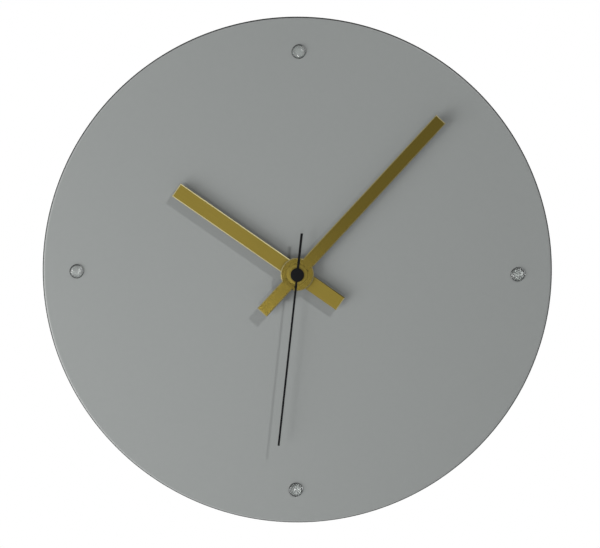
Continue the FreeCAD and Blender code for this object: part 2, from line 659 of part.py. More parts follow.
def movement_case():
    """Front shell of the movement, with the battery bay and the posts of the train."""
    case = rounded_block(
        -CASE_SIDE, CASE_SIDE, -CASE_TOP, CASE_TOP, 0, CASE_DEPTH, CASE_CORNER_RADIUS
    )
    case = case.makeFillet(CASE_EDGE_ROUND, at_depth(case, CASE_DEPTH))
    room = rounded_block(
        CASE_WALL - CASE_SIDE,
        CASE_SIDE - CASE_WALL,
        ROOM_BOTTOM,
        CASE_TOP - CASE_WALL,
        -OVERRUN,
        FRONT_INNER,
        CASE_CORNER_RADIUS - CASE_WALL,
    )
    bay = block(
        CASE_WALL - CASE_SIDE, CASE_SIDE - CASE_WALL, BAY_BOTTOM, BAY_TOP, -OVERRUN, FRONT_INNER
    )
    seat = block(
        -CASE_SIDE - OVERRUN,
        CASE_SIDE + OVERRUN,
        BAY_TOP,
        CASE_TOP + OVERRUN,
        -OVERRUN,
        COVER_THICKNESS,
    )
    case = case.cut([room, bay, seat])
    posts = [disc(spot, POST_DIAMETER / 2, TRAIN_PLATE_FRONT, FRONT_INNER) for spot in POST_PLACES]
    posts += [
        disc(spot, POST_SPIGOT_DIAMETER / 2, TRAIN_PLATE_REAR, FRONT_INNER) for spot in POST_PLACES
    ]
    posts += [disc(spot, POST_DIAMETER / 2, STATOR_FRONT, FRONT_INNER) for spot in STATOR_LEGS]
    posts += [
        disc(spot, POST_SPIGOT_DIAMETER / 2, CORE_REAR, FRONT_INNER) for spot in STATOR_LEGS
    ]
    case = case.fuse(posts).removeSplitter()
    slots = [
        block(
            middle - PRONG_WIDTH / 2 - BAY_CLEARANCE,
            middle + PRONG_WIDTH / 2 + BAY_CLEARANCE,
            CASE_TOP - CASE_WALL - OVERRUN,
            CASE_TOP + OVERRUN,
            PRONG_BACK - BAY_CLEARANCE,
            PRONG_BACK + PRONG_DEPTH + BAY_CLEARANCE,
        )
        for middle in PRONG_PLACES
    ]
    bush_hole = disc(AXIS, BUSH_COLLAR_DIAMETER / 2, FRONT_INNER - OVERRUN, CASE_DEPTH + OVERRUN)
    contact_gap = CONTACT_THICKNESS + BAY_CLEARANCE
    contact_ways = [
        block(
            CASE_SIDE - CASE_WALL - contact_gap - BAY_CLEARANCE,
            CASE_SIDE - CASE_WALL,
            BAY_TOP - OVERRUN,
            ROOM_BOTTOM + CASE_CORNER_RADIUS,
            COVER_THICKNESS,
            COVER_THICKNESS + COVER_LIP_HEIGHT + CONTACT_WIDTH + BAY_CLEARANCE,
        )
    ]
    thumb = Part.makeCylinder(
        THUMB_NOTCH_RADIUS,
        CASE_WALL + 2 * OVERRUN,
        place(0, -CASE_TOP - OVERRUN, 0),
        FreeCAD.Vector(0, 0, 1),
    )
    return case.cut([bush_hole, thumb] + slots + contact_ways + hook_windows())


def snap_hooks():
    """Four tongues of the cover, each with a barb that stands in a window of the case."""
    top_wall = CASE_TOP - CASE_WALL
    barb_rear = HOOK_TOP - HOOK_BARB_DEPTH
    hooks = []
    for middle in HOOK_PLACES:
        left = middle - HOOK_WIDTH / 2
        right = middle + HOOK_WIDTH / 2
        upper = top_wall - COVER_CLEARANCE
        lower = ROOM_BOTTOM + COVER_CLEARANCE
        hooks.append(block(left, right, upper - HOOK_THICKNESS, upper, COVER_THICKNESS, HOOK_TOP))
        hooks.append(block(left, right, upper, top_wall + HOOK_BARB_REACH, barb_rear, HOOK_TOP))
        hooks.append(block(left, right, lower, lower + HOOK_THICKNESS, COVER_THICKNESS, HOOK_TOP))
        hooks.append(block(left, right, ROOM_BOTTOM - HOOK_BARB_REACH, lower, barb_rear, HOOK_TOP))
    return hooks


def hook_windows():
    """Windows of the case for the barbs of the cover's hooks."""
    rear = HOOK_TOP - HOOK_BARB_DEPTH - HOOK_WINDOW_CLEARANCE
    front = HOOK_TOP + HOOK_WINDOW_CLEARANCE
    windows = []
    for middle in HOOK_PLACES:
        left = middle - HOOK_WIDTH / 2 - HOOK_WINDOW_CLEARANCE
        right = middle + HOOK_WIDTH / 2 + HOOK_WINDOW_CLEARANCE
        windows.append(
            block(left, right, CASE_TOP - CASE_WALL - OVERRUN, CASE_TOP + OVERRUN, rear, front)
        )
        windows.append(block(left, right, BAY_TOP - OVERRUN, ROOM_BOTTOM + OVERRUN, rear, front))
    return windows


def bearing_boss(spot, arbor_diameter, top):
    """Boss on the cover that carries the rear pivot of an arbor."""
    return disc(spot, arbor_diameter / 2 + BOSS_WALL, COVER_THICKNESS, top)


def bearing_hole(spot, arbor_diameter, top):
    """Blind hole of a bearing boss."""
    return disc(spot, arbor_diameter / 2 + RUNNING_CLEARANCE, PIVOT_FLOOR, top + OVERRUN)


def rear_bearings():
    """Place, arbor diameter and height of each bearing boss on the cover."""
    return [
        (AXIS, SECOND_ARBOR_DIAMETER, INTERMEDIATE_WHEEL_REAR - BOSS_GAP),
        (THIRD_PLACE, ARBOR_DIAMETER, INTERMEDIATE_WHEEL_REAR - BOSS_GAP),
        (INTERMEDIATE_PLACE, ARBOR_DIAMETER, INTERMEDIATE_WHEEL_REAR - BOSS_GAP),
        (ROTOR_PLACE, ARBOR_DIAMETER, ROTOR_PINION_REAR - BOSS_GAP),
    ]


def movement_cover():
    """Rear cover with a lip inside the case, bearing bosses and the well of the setting knob."""
    cover = rounded_block(
        -CASE_SIDE, CASE_SIDE, BAY_TOP, CASE_TOP, 0, COVER_THICKNESS, COVER_CORNER_RADIUS
    )
    inner = CASE_SIDE - CASE_WALL - COVER_CLEARANCE
    lip_top = COVER_THICKNESS + COVER_LIP_HEIGHT
    lip_bottom = ROOM_BOTTOM + COVER_CLEARANCE
    lip = block(
        -inner, inner, lip_bottom, CASE_TOP - CASE_WALL - COVER_CLEARANCE, COVER_THICKNESS, lip_top
    )
    corner = CASE_CORNER_RADIUS - CASE_WALL
    lip = lip.makeFillet(corner, [edge for edge in lip.Edges if along_depth(edge)])
    lip = lip.cut(
        rounded_block(
            COVER_LIP_WALL - inner,
            inner - COVER_LIP_WALL,
            lip_bottom + COVER_LIP_WALL,
            CASE_TOP - CASE_WALL - COVER_CLEARANCE - COVER_LIP_WALL,
            COVER_THICKNESS - OVERRUN,
            lip_top + OVERRUN,
            corner - COVER_LIP_WALL / 2,
        )
    )
    well = disc(KNOB_PLACE, KNOB_WELL_RADIUS + KNOB_WELL_WALL, 0, KNOB_WELL_FLOOR + KNOB_WELL_WALL)
    bosses = [bearing_boss(*bearing) for bearing in rear_bearings()]
    posts = [disc(spot, BOARD_POST_DIAMETER / 2, COVER_THICKNESS, BOARD_REAR) for spot in BOARD_POSTS]
    posts += [
        disc(spot, POST_SPIGOT_DIAMETER / 2, COVER_THICKNESS, BOARD_FRONT) for spot in BOARD_POSTS
    ]
    cover = cover.fuse([lip, well] + bosses + posts + snap_hooks()).removeSplitter()
    shaft = KNOB_SHAFT_DIAMETER / 2 + RUNNING_CLEARANCE
    holes = [bearing_hole(*bearing) for bearing in rear_bearings()]
    holes.append(disc(KNOB_PLACE, KNOB_WELL_RADIUS, -OVERRUN, KNOB_WELL_FLOOR))
    holes.append(disc(KNOB_PLACE, shaft, 0, KNOB_WELL_FLOOR + KNOB_WELL_WALL + OVERRUN))
    return cover.cut(holes)


def hanger():
    """Clip-on hanger: a rounded plate with the hook hole, a foot and two prongs."""
    half = HANGER_WIDTH / 2
    top = CASE_TOP + HANGER_RISE
    front = HANGER_RECESS + HANGER_THICKNESS
    plate = block(-half, half, CASE_TOP, top, HANGER_RECESS, front)
    upper = [
        edge for edge in plate.Edges if along_depth(edge) and edge.BoundBox.ZMin > CASE_TOP
    ]
    plate = plate.makeFillet(HANGER_CORNER_RADIUS, upper)
    foot = block(
        -half, half, CASE_TOP, CASE_TOP + HANGER_FOOT_HEIGHT, HANGER_RECESS, HANGER_FOOT_DEPTH
    )
    prongs = [
        block(
            middle - PRONG_WIDTH / 2,
            middle + PRONG_WIDTH / 2,
            CASE_TOP - CASE_WALL,
            CASE_TOP,
            PRONG_BACK,
            PRONG_BACK + PRONG_DEPTH,
        )
        for middle in PRONG_PLACES
    ]
    body = plate.fuse([foot] + prongs).removeSplitter()
    hole = disc(
        (0, CASE_TOP + HANG_HOLE_ABOVE_CASE), HANG_HOLE_RADIUS, -OVERRUN, front + OVERRUN
    )
    return body.cut(hole)


def train_plate():
    """Plate that carries the front pivots, on the four posts of the case."""
    plate = rounded_block(
        TRAIN_PLATE_LEFT,
        TRAIN_PLATE_RIGHT,
        TRAIN_PLATE_BOTTOM,
        TRAIN_PLATE_TOP,
        TRAIN_PLATE_REAR,
        TRAIN_PLATE_FRONT,
        TRAIN_PLATE_CORNER,
    )
    pivot = ARBOR_DIAMETER / 2
    stud = disc(MINUTE_WHEEL_PLACE, pivot, TRAIN_PLATE_REAR, HOUR_WHEEL_FRONT + PINION_OVERHANG)
    plate = plate.fuse(stud).removeSplitter()
    sizes = [
        (AXIS, MINUTE_TUBE_DIAMETER / 2 + RUNNING_CLEARANCE),
        (THIRD_PLACE, pivot + RUNNING_CLEARANCE),
        (INTERMEDIATE_PLACE, pivot + RUNNING_CLEARANCE),
        (ROTOR_PLACE, pivot + RUNNING_CLEARANCE),
        (KNOB_PLACE, KNOB_SHAFT_DIAMETER / 2 + RUNNING_CLEARANCE),
    ]
    sizes += [(spot, POST_SPIGOT_DIAMETER / 2) for spot in POST_PLACES]
    holes = [
        disc(spot, radius, TRAIN_PLATE_REAR - OVERRUN, TRAIN_PLATE_FRONT + OVERRUN)
        for spot, radius in sizes
    ]
    return plate.cut(holes)


def hour_wheel():
    """Hour wheel with the long tube that carries the hour hand."""
    wheel = gear(
        AXIS, HOUR_WHEEL_TEETH, HOUR_MODULE, HOUR_WHEEL_PHASE, HOUR_WHEEL_REAR, HOUR_WHEEL_FRONT
    )
    tube = disc(AXIS, HOUR_TUBE_DIAMETER / 2, HOUR_WHEEL_REAR, HOUR_TUBE_FRONT)
    bore = MINUTE_TUBE_DIAMETER / 2 + RUNNING_CLEARANCE
    return wheel.fuse(tube).removeSplitter().cut(
        disc(AXIS, bore, HOUR_WHEEL_REAR - OVERRUN, HOUR_TUBE_FRONT + OVERRUN)
    )


def minute_tube():
    """Minute tube with its pinion and the clutch seat of the centre wheel."""
    rear = CENTRE_WHEEL_REAR - PINION_OVERHANG
    tube = disc(AXIS, MINUTE_TUBE_DIAMETER / 2, rear, MINUTE_BUSH_FRONT)
    pinion = gear(
        AXIS,
        CANNON_TEETH,
        MOTION_MODULE,
        CANNON_PHASE,
        MINUTE_WHEEL_REAR - PINION_OVERHANG,
        MINUTE_WHEEL_FRONT + PINION_OVERHANG,
    )
    bore = SECOND_ARBOR_DIAMETER / 2 + RUNNING_CLEARANCE
    return tube.fuse(pinion).removeSplitter().cut(
        disc(AXIS, bore, rear - OVERRUN, MINUTE_BUSH_FRONT + OVERRUN)
    )


def centre_wheel():
    """Centre wheel, gripped on the minute tube by a friction clutch."""
    wheel = gear(
        AXIS,
        CENTRE_WHEEL_TEETH,
        CENTRE_MODULE,
        CENTRE_PHASE,
        CENTRE_WHEEL_REAR,
        CENTRE_WHEEL_FRONT,
    )
    hub = disc(AXIS, CLUTCH_SEAT_DIAMETER / 2, CENTRE_WHEEL_REAR, CENTRE_WHEEL_FRONT + PINION_OVERHANG)
    bore = MINUTE_TUBE_DIAMETER / 2 + RUNNING_CLEARANCE
    return wheel.fuse(hub).removeSplitter().cut(
        disc(AXIS, bore, CENTRE_WHEEL_REAR - OVERRUN, CENTRE_WHEEL_FRONT + OVERRUN)
    )


def third_wheel():
    """Third wheel and its pinion, moulded in one piece."""
    wheel = gear(
        THIRD_PLACE,
        THIRD_WHEEL_TEETH,
        TRAIN_MODULE,
        THIRD_PHASE,
        THIRD_WHEEL_REAR,
        THIRD_WHEEL_FRONT,
    )
    pinion = gear(
        THIRD_PLACE,
        THIRD_PINION_TEETH,
        CENTRE_MODULE,
        THIRD_PHASE,
        THIRD_WHEEL_FRONT,
        CENTRE_WHEEL_FRONT + PINION_OVERHANG,
    )
    return bored(wheel.fuse(pinion), THIRD_PLACE)


def second_wheel():
    """Second wheel and its pinion, moulded in one piece."""
    wheel = gear(
        AXIS,
        SECOND_WHEEL_TEETH,
        TRAIN_MODULE,
        SECOND_PHASE,
        SECOND_WHEEL_REAR,
        SECOND_WHEEL_FRONT,
    )
    pinion = gear(
        AXIS,
        SECOND_PINION_TEETH,
        TRAIN_MODULE,
        SECOND_PHASE,
        SECOND_WHEEL_FRONT,
        THIRD_WHEEL_FRONT + PINION_OVERHANG,
    )
    return bored(wheel.fuse(pinion), AXIS)


def intermediate_wheel():
    """Intermediate wheel and its pinion, moulded in one piece."""
    wheel = gear(
        INTERMEDIATE_PLACE,
        INTERMEDIATE_WHEEL_TEETH,
        STEP_MODULE,
        INTERMEDIATE_PHASE,
        INTERMEDIATE_WHEEL_REAR,
        INTERMEDIATE_WHEEL_FRONT,
    )
    pinion = gear(
        INTERMEDIATE_PLACE,
        INTERMEDIATE_PINION_TEETH,
        TRAIN_MODULE,
        INTERMEDIATE_PHASE,
        INTERMEDIATE_WHEEL_FRONT,
        SECOND_WHEEL_FRONT + PINION_OVERHANG,
    )
    return bored(wheel.fuse(pinion), INTERMEDIATE_PLACE)


def minute_wheel():
    """Minute wheel and its pinion, loose on the stud of the train plate."""
    wheel = gear(
        MINUTE_WHEEL_PLACE,
        MINUTE_WHEEL_TEETH,
        MOTION_MODULE,
        MINUTE_WHEEL_PHASE,
        MINUTE_WHEEL_REAR,
        MINUTE_WHEEL_FRONT,
    )
    pinion = gear(
        MINUTE_WHEEL_PLACE,
        MINUTE_PINION_TEETH,
        HOUR_MODULE,
        MINUTE_WHEEL_PHASE,
        MINUTE_WHEEL_FRONT,
        HOUR_WHEEL_FRONT + PINION_OVERHANG,
    )
    body = wheel.fuse(pinion).removeSplitter()
    bore = ARBOR_DIAMETER / 2 + RUNNING_CLEARANCE
    return body.cut(disc(MINUTE_WHEEL_PLACE, bore, 0, CASE_DEPTH))


def bored(body, spot):
    """Wheel bored for the arbor that is pressed in it."""
    return body.removeSplitter().cut(disc(spot, ARBOR_DIAMETER / 2, 0, CASE_DEPTH))


def arbor(spot):
    """Arbor between the cover's boss and the train plate."""
    return disc(spot, ARBOR_DIAMETER / 2, PIVOT_FLOOR + ARBOR_END_PLAY, TRAIN_PLATE_FRONT)


def second_arbor():
    """Long arbor of the second hand, through the minute tube."""
    return disc(AXIS, SECOND_ARBOR_DIAMETER / 2, PIVOT_FLOOR + ARBOR_END_PLAY, SECOND_ARBOR_FRONT)


def rotor_pinion():
    """Rotor pinion with the staff that carries the magnet."""
    pinion = gear(
        ROTOR_PLACE,
        ROTOR_PINION_TEETH,
        STEP_MODULE,
        ROTOR_PHASE,
        ROTOR_PINION_REAR,
        ROTOR_PINION_FRONT,
    )
    return pinion.fuse(arbor(ROTOR_PLACE)).removeSplitter()


def rotor_magnet():
    """Ring magnet on the rotor's staff."""
    magnet = disc(ROTOR_PLACE, MAGNET_DIAMETER / 2, MAGNET_REAR, MAGNET_FRONT)
    return bored(magnet, ROTOR_PLACE)


def stator_plate():
    """Soft iron stator: a bar with the rotor's hole and two legs up to the coil."""
    top = COIL_AXIS_HEIGHT + STATOR_LEG_WIDTH / 2
    outline = [
        (STATOR_LEFT, STATOR_BAR_BOTTOM),
        (STATOR_RIGHT, STATOR_BAR_BOTTOM),
        (STATOR_RIGHT, top),
        (STATOR_RIGHT - STATOR_LEG_WIDTH, top),
        (STATOR_RIGHT - STATOR_LEG_WIDTH, STATOR_BAR_TOP),
        (STATOR_LEFT + STATOR_LEG_WIDTH, STATOR_BAR_TOP),
        (STATOR_LEFT + STATOR_LEG_WIDTH, top),
        (STATOR_LEFT, top),
    ]
    hole = MAGNET_DIAMETER / 2 + MAGNET_GAP
    plate = prism(outline, STATOR_REAR, STATOR_FRONT)
    lobe = disc(ROTOR_PLACE, hole + STATOR_LOBE_WALL, STATOR_REAR, STATOR_FRONT)
    plate = plate.fuse(lobe).removeSplitter()
    cuts = [disc(ROTOR_PLACE, hole, STATOR_REAR - OVERRUN, STATOR_FRONT + OVERRUN)]
    for side in (45.0, 225.0):
        spot = polar(ROTOR_PLACE, hole, side)
        cuts.append(
            disc(spot, STATOR_NOTCH_RADIUS, STATOR_REAR - OVERRUN, STATOR_FRONT + OVERRUN)
        )
    cuts += [
        disc(spot, POST_SPIGOT_DIAMETER / 2, STATOR_REAR - OVERRUN, STATOR_FRONT + OVERRUN)
        for spot in STATOR_LEGS
    ]
    return plate.cut(cuts)


def coil_core():
    """Core bar that closes the magnetic loop behind the stator's legs."""
    core = block(
        STATOR_LEFT,
        STATOR_RIGHT,
        COIL_AXIS_HEIGHT - CORE_WIDTH / 2,
        COIL_AXIS_HEIGHT + CORE_WIDTH / 2,
        CORE_REAR,
        STATOR_REAR,
    )
    holes = [
        disc(spot, POST_SPIGOT_DIAMETER / 2, CORE_REAR - OVERRUN, STATOR_REAR + OVERRUN)
        for spot in STATOR_LEGS
    ]
    return core.cut(holes)


def coil_span():
    """Left and right end of the bobbin, between the stator's legs."""
    left = STATOR_LEFT + STATOR_LEG_WIDTH + BOBBIN_END_GAP
    right = STATOR_RIGHT - STATOR_LEG_WIDTH - BOBBIN_END_GAP
    return left, right


def sideways_disc(radius, left, right):
    """Round solid on the coil's axis, along x."""
    start = place(left, COIL_AXIS_HEIGHT, (CORE_REAR + STATOR_REAR) / 2)
    return Part.makeCylinder(radius, right - left, start, FreeCAD.Vector(1, 0, 0))


def bobbin_radius():
    """Radius of the bobbin's barrel, just over the core's corners."""
    return math.hypot(CORE_WIDTH, CORE_THICKNESS) / 2 + BOBBIN_WALL


def coil_bobbin():
    """Bobbin with two flanges and the slot for the core."""
    left, right = coil_span()
    body = sideways_disc(bobbin_radius(), left, right)
    body = body.fuse(sideways_disc(BOBBIN_FLANGE_RADIUS, left, left + BOBBIN_FLANGE))
    body = body.fuse(sideways_disc(BOBBIN_FLANGE_RADIUS, right - BOBBIN_FLANGE, right))
    slot = block(
        left - OVERRUN,
        right + OVERRUN,
        COIL_AXIS_HEIGHT - CORE_WIDTH / 2,
        COIL_AXIS_HEIGHT + CORE_WIDTH / 2,
        CORE_REAR,
        STATOR_REAR,
    )
    return body.removeSplitter().cut(slot)


def coil_winding():
    """Wound copper between the bobbin's flanges, as one sleeve."""
    left, right = coil_span()
    sleeve = sideways_disc(WINDING_RADIUS, left + BOBBIN_FLANGE, right - BOBBIN_FLANGE)
    return sleeve.cut(sideways_disc(bobbin_radius(), left, right))


def circuit_board():
    """Small board on two posts of the cover."""
    board = block(BOARD_LEFT, BOARD_RIGHT, BOARD_BOTTOM, BOARD_TOP, BOARD_REAR, BOARD_FRONT)
    holes = [
        disc(spot, POST_SPIGOT_DIAMETER / 2, BOARD_REAR - OVERRUN, BOARD_FRONT + OVERRUN)
        for spot in BOARD_POSTS
    ]
    return board.cut(holes)


def clock_chip():
    """Drop of sealing resin over the bare chip."""
    middle = ((BOARD_LEFT + BOARD_RIGHT) / 2, (BOARD_BOTTOM + BOARD_TOP) / 2 - CHIP_SHIFT)
    drop = disc(middle, CHIP_RADIUS, BOARD_FRONT, BOARD_FRONT + CHIP_HEIGHT)
    return drop.makeFillet(CHIP_HEIGHT * 2 / 3, at_depth(drop, BOARD_FRONT + CHIP_HEIGHT))


def quartz_crystal():
    """Round can of the quartz crystal, lying on the board."""
    middle = (BOARD_LEFT + BOARD_RIGHT) / 2
    height = (BOARD_BOTTOM + BOARD_TOP) / 2 + CRYSTAL_SHIFT - CRYSTAL_RADIUS
    start = place(middle - CRYSTAL_LENGTH / 3, height, BOARD_FRONT + CRYSTAL_RADIUS)
    return Part.makeCylinder(CRYSTAL_RADIUS, CRYSTAL_LENGTH, start, FreeCAD.Vector(1, 0, 0))


def cell_left():
    """Left end of the cell, which lies against the spring contact."""
    return CASE_WALL - CASE_SIDE + CONTACT_THICKNESS + spring_depth()


def spring_depth():
    """Room that the spring contact takes beside the cell."""
    inside = 2 * (CASE_SIDE - CASE_WALL - CONTACT_THICKNESS)
    return inside - CELL_LENGTH - CELL_NUB_LENGTH


def battery_cell():
    """Cylindrical cell with its rounded shoulder and positive nub."""
    start = place(cell_left(), CELL_HEIGHT, CELL_DEPTH)
    axis = FreeCAD.Vector(1, 0, 0)
    can = Part.makeCylinder(CELL_DIAMETER / 2, CELL_LENGTH, start, axis)
    ends = [edge for edge in can.Edges if edge.BoundBox.XLength < RUNNING_CLEARANCE]
    can = can.makeFillet(CELL_SHOULDER_ROUND, ends)
    nub_start = place(cell_left() + CELL_LENGTH, CELL_HEIGHT, CELL_DEPTH)
    nub = Part.makeCylinder(CELL_NUB_DIAMETER / 2, CELL_NUB_LENGTH, nub_start, axis)
    return can.fuse(nub).removeSplitter()


def positive_contact():
    """Flat strip at the nub, which runs up through the bay's wall to the board."""
    right = CASE_SIDE - CASE_WALL
    rear = COVER_THICKNESS + COVER_LIP_HEIGHT
    tongue = block(
        right - CONTACT_THICKNESS,
        right,
        CELL_HEIGHT - CONTACT_SPRING_WIDTH / 2,
        BAY_TOP,
        CELL_DEPTH - CONTACT_SPRING_WIDTH / 2,
        CELL_DEPTH + CONTACT_SPRING_WIDTH / 2,
    )
    riser = block(
        right - CONTACT_THICKNESS,
        right,
        CELL_HEIGHT,
        BOARD_TOP - BOARD_POST_INSET,
        rear,
        rear + CONTACT_WIDTH,
    )
    foot = block(
        BOARD_RIGHT - BOARD_POST_INSET / 2,
        right,
        BOARD_TOP - BOARD_POST_INSET - CONTACT_THICKNESS,
        BOARD_TOP - BOARD_POST_INSET,
        BOARD_FRONT,
        rear + CONTACT_WIDTH,
    )
    return tongue.fuse([riser, foot]).removeSplitter()


def negative_contact():
    """Folded leaf spring at the cell's flat end."""
    left = CASE_WALL - CASE_SIDE
    half = CONTACT_SPRING_WIDTH / 2
    depth = spring_depth()
    rear = CELL_DEPTH - half
    front = CELL_DEPTH + half
    back = block(left, left + CONTACT_THICKNESS, BAY_BOTTOM, CELL_HEIGHT + half, rear, front)
    tip = left + CONTACT_THICKNESS + depth
    leaf = prism(
        [
            (left, CELL_HEIGHT + half),
            (tip - CONTACT_THICKNESS, CELL_HEIGHT),
            (tip - CONTACT_THICKNESS, CELL_HEIGHT - half),
            (tip, CELL_HEIGHT - half),
            (tip, CELL_HEIGHT),
            (left + CONTACT_THICKNESS, CELL_HEIGHT + half + CONTACT_THICKNESS),
            (left, CELL_HEIGHT + half + CONTACT_THICKNESS),
        ],
        rear,
        front,
    )
    return back.fuse(leaf).removeSplitter()


def setting_knob():
    """Fluted knob in its well, with the shaft that reaches the motion work."""
    rear = KNOB_RECESS
    knob = disc(KNOB_PLACE, KNOB_DIAMETER / 2, rear, rear + KNOB_HEIGHT)
    flutes = []
    for index in range(KNOB_FLUTES):
        spot = polar(KNOB_PLACE, KNOB_DIAMETER / 2, index * 360.0 / KNOB_FLUTES)
        flutes.append(disc(spot, KNOB_FLUTE_RADIUS, rear - OVERRUN, rear + KNOB_HEIGHT + OVERRUN))
    knob = knob.cut(flutes)
    stop = MINUTE_WHEEL_REAR - PINION_OVERHANG
    shaft = disc(KNOB_PLACE, KNOB_SHAFT_DIAMETER / 2, rear, stop)
    seat = KNOB_SHAFT_DIAMETER / 2 * KNOB_PINION_SEAT_SHARE
    spigot = disc(KNOB_PLACE, seat, stop, MINUTE_WHEEL_FRONT + PINION_OVERHANG)
    return knob.fuse([shaft, spigot]).removeSplitter()


def setting_pinion():
    """Pinion on the knob's shaft, in mesh with the minute wheel."""
    rear = MINUTE_WHEEL_REAR - PINION_OVERHANG
    front = MINUTE_WHEEL_FRONT + PINION_OVERHANG
    pinion = gear(KNOB_PLACE, KNOB_PINION_TEETH, MOTION_MODULE, KNOB_PHASE, rear, front)
    seat = KNOB_SHAFT_DIAMETER / 2 * KNOB_PINION_SEAT_SHARE
    return pinion.cut(disc(KNOB_PLACE, seat, rear - OVERRUN, front + OVERRUN))


def build_parts():
    """All pieces by name."""
    parts = {
        "dial_plate": dial_plate(),
        "hour_hand": hour_hand(),
        "hour_hand_collet": hour_hand_collet(),
        "minute_hand": minute_hand(),
        "minute_hand_bush": minute_hand_bush(),
        "second_hand": second_hand(),
        "second_hand_boss": second_hand_boss(),
        "second_hand_sleeve": second_hand_sleeve(),
        "threaded_bush": threaded_bush(),
        "bush_nut": bush_nut(),
        "front_washer": washer(FRONT_WASHER_DIAMETER, PLATE_FRONT, WASHER_FRONT),
        "rubber_washer": washer(RUBBER_WASHER_DIAMETER, CASE_DEPTH, PLATE_REAR),
        "movement_case": movement_case(),
        "movement_cover": movement_cover(),
        "hanger": hanger(),
        "train_plate": train_plate(),
        "hour_wheel": hour_wheel(),
        "minute_tube": minute_tube(),
        "minute_wheel": minute_wheel(),
        "centre_wheel": centre_wheel(),
        "third_wheel": third_wheel(),
        "third_arbor": arbor(THIRD_PLACE),
        "second_wheel": second_wheel(),
        "second_arbor": second_arbor(),
        "intermediate_wheel": intermediate_wheel(),
        "intermediate_arbor": arbor(INTERMEDIATE_PLACE),
        "rotor_pinion": rotor_pinion(),
        "rotor_magnet": rotor_magnet(),
        "stator_plate": stator_plate(),
        "coil_core": coil_core(),
        "coil_bobbin": coil_bobbin(),
        "coil_winding": coil_winding(),
        "circuit_board": circuit_board(),
        "clock_chip": clock_chip(),
        "quartz_crystal": quartz_crystal(),
        "battery_cell": battery_cell(),
        "positive_contact": positive_contact(),
        "negative_contact": negative_contact(),
        "setting_knob": setting_knob(),
        "setting_pinion": setting_pinion(),
    }
    for hour in MARKER_HOURS:
        parts["hour_marker_" + str(hour)] = hour_marker(hour)
    return parts


def main():
    """Write one file per piece."""
    os.makedirs("parts", exist_ok=True)
    for name, shape in build_parts().items():
        print(name, len(shape.Solids), round(shape.Volume, 2), shape.isValid())
        shape.exportStep("parts/" + name + ".step")


if __name__ == "__main__":
    main()
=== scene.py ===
"""Looks of a frameless round wall clock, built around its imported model."""

import json
import logging
import math
from collections.abc import Callable
from dataclasses import dataclass, field
from enum import Enum

import bmesh
import bpy
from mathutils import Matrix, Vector

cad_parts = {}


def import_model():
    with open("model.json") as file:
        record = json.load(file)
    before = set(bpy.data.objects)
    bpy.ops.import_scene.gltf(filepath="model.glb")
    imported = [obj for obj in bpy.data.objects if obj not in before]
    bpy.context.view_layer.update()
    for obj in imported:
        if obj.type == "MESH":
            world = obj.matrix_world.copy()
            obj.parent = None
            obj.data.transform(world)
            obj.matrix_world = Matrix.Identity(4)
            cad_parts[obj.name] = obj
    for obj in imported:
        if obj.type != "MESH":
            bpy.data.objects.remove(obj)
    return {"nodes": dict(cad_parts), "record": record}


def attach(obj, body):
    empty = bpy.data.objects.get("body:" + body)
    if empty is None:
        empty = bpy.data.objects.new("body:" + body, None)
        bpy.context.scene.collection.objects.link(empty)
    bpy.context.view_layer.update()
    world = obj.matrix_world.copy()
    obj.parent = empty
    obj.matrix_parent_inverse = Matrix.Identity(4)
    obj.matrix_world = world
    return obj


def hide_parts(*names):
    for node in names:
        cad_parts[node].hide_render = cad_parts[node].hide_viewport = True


LOG = logging.getLogger("wall_clock")
MM = 0.001
PLATE_FACE = -21.0 * MM
HOUR_HAND_TURN = 305.0
MINUTE_HAND_TURN = 42.6
HOUR_ANGLE = 30.0
FLAT_TOLERANCE = 0.01 * MM
MERGE_DISTANCE = 0.0005 * MM
CUT_OVERRUN = 1.0 * MM
LEVEL_ANGLE = 0.1
CRISP_ANGLE = 15.0
SQUARE_ON = 0.99
NEARLY_SQUARE_ON = 0.9
NEARLY_EDGE_ON = 0.5

Colour = tuple[float, float, float]
Place = tuple[float, float, float]
Point = tuple[float, float]
Profile = list[Point]
Edge = bmesh.types.BMEdge
Piece = bpy.types.Object
Socket = bpy.types.NodeSocket


class Lines(Enum):
    """The direction that a tool has left its fine lines in."""

    NONE = "none"
    STRAIGHT = "straight"
    TURNED = "turned"


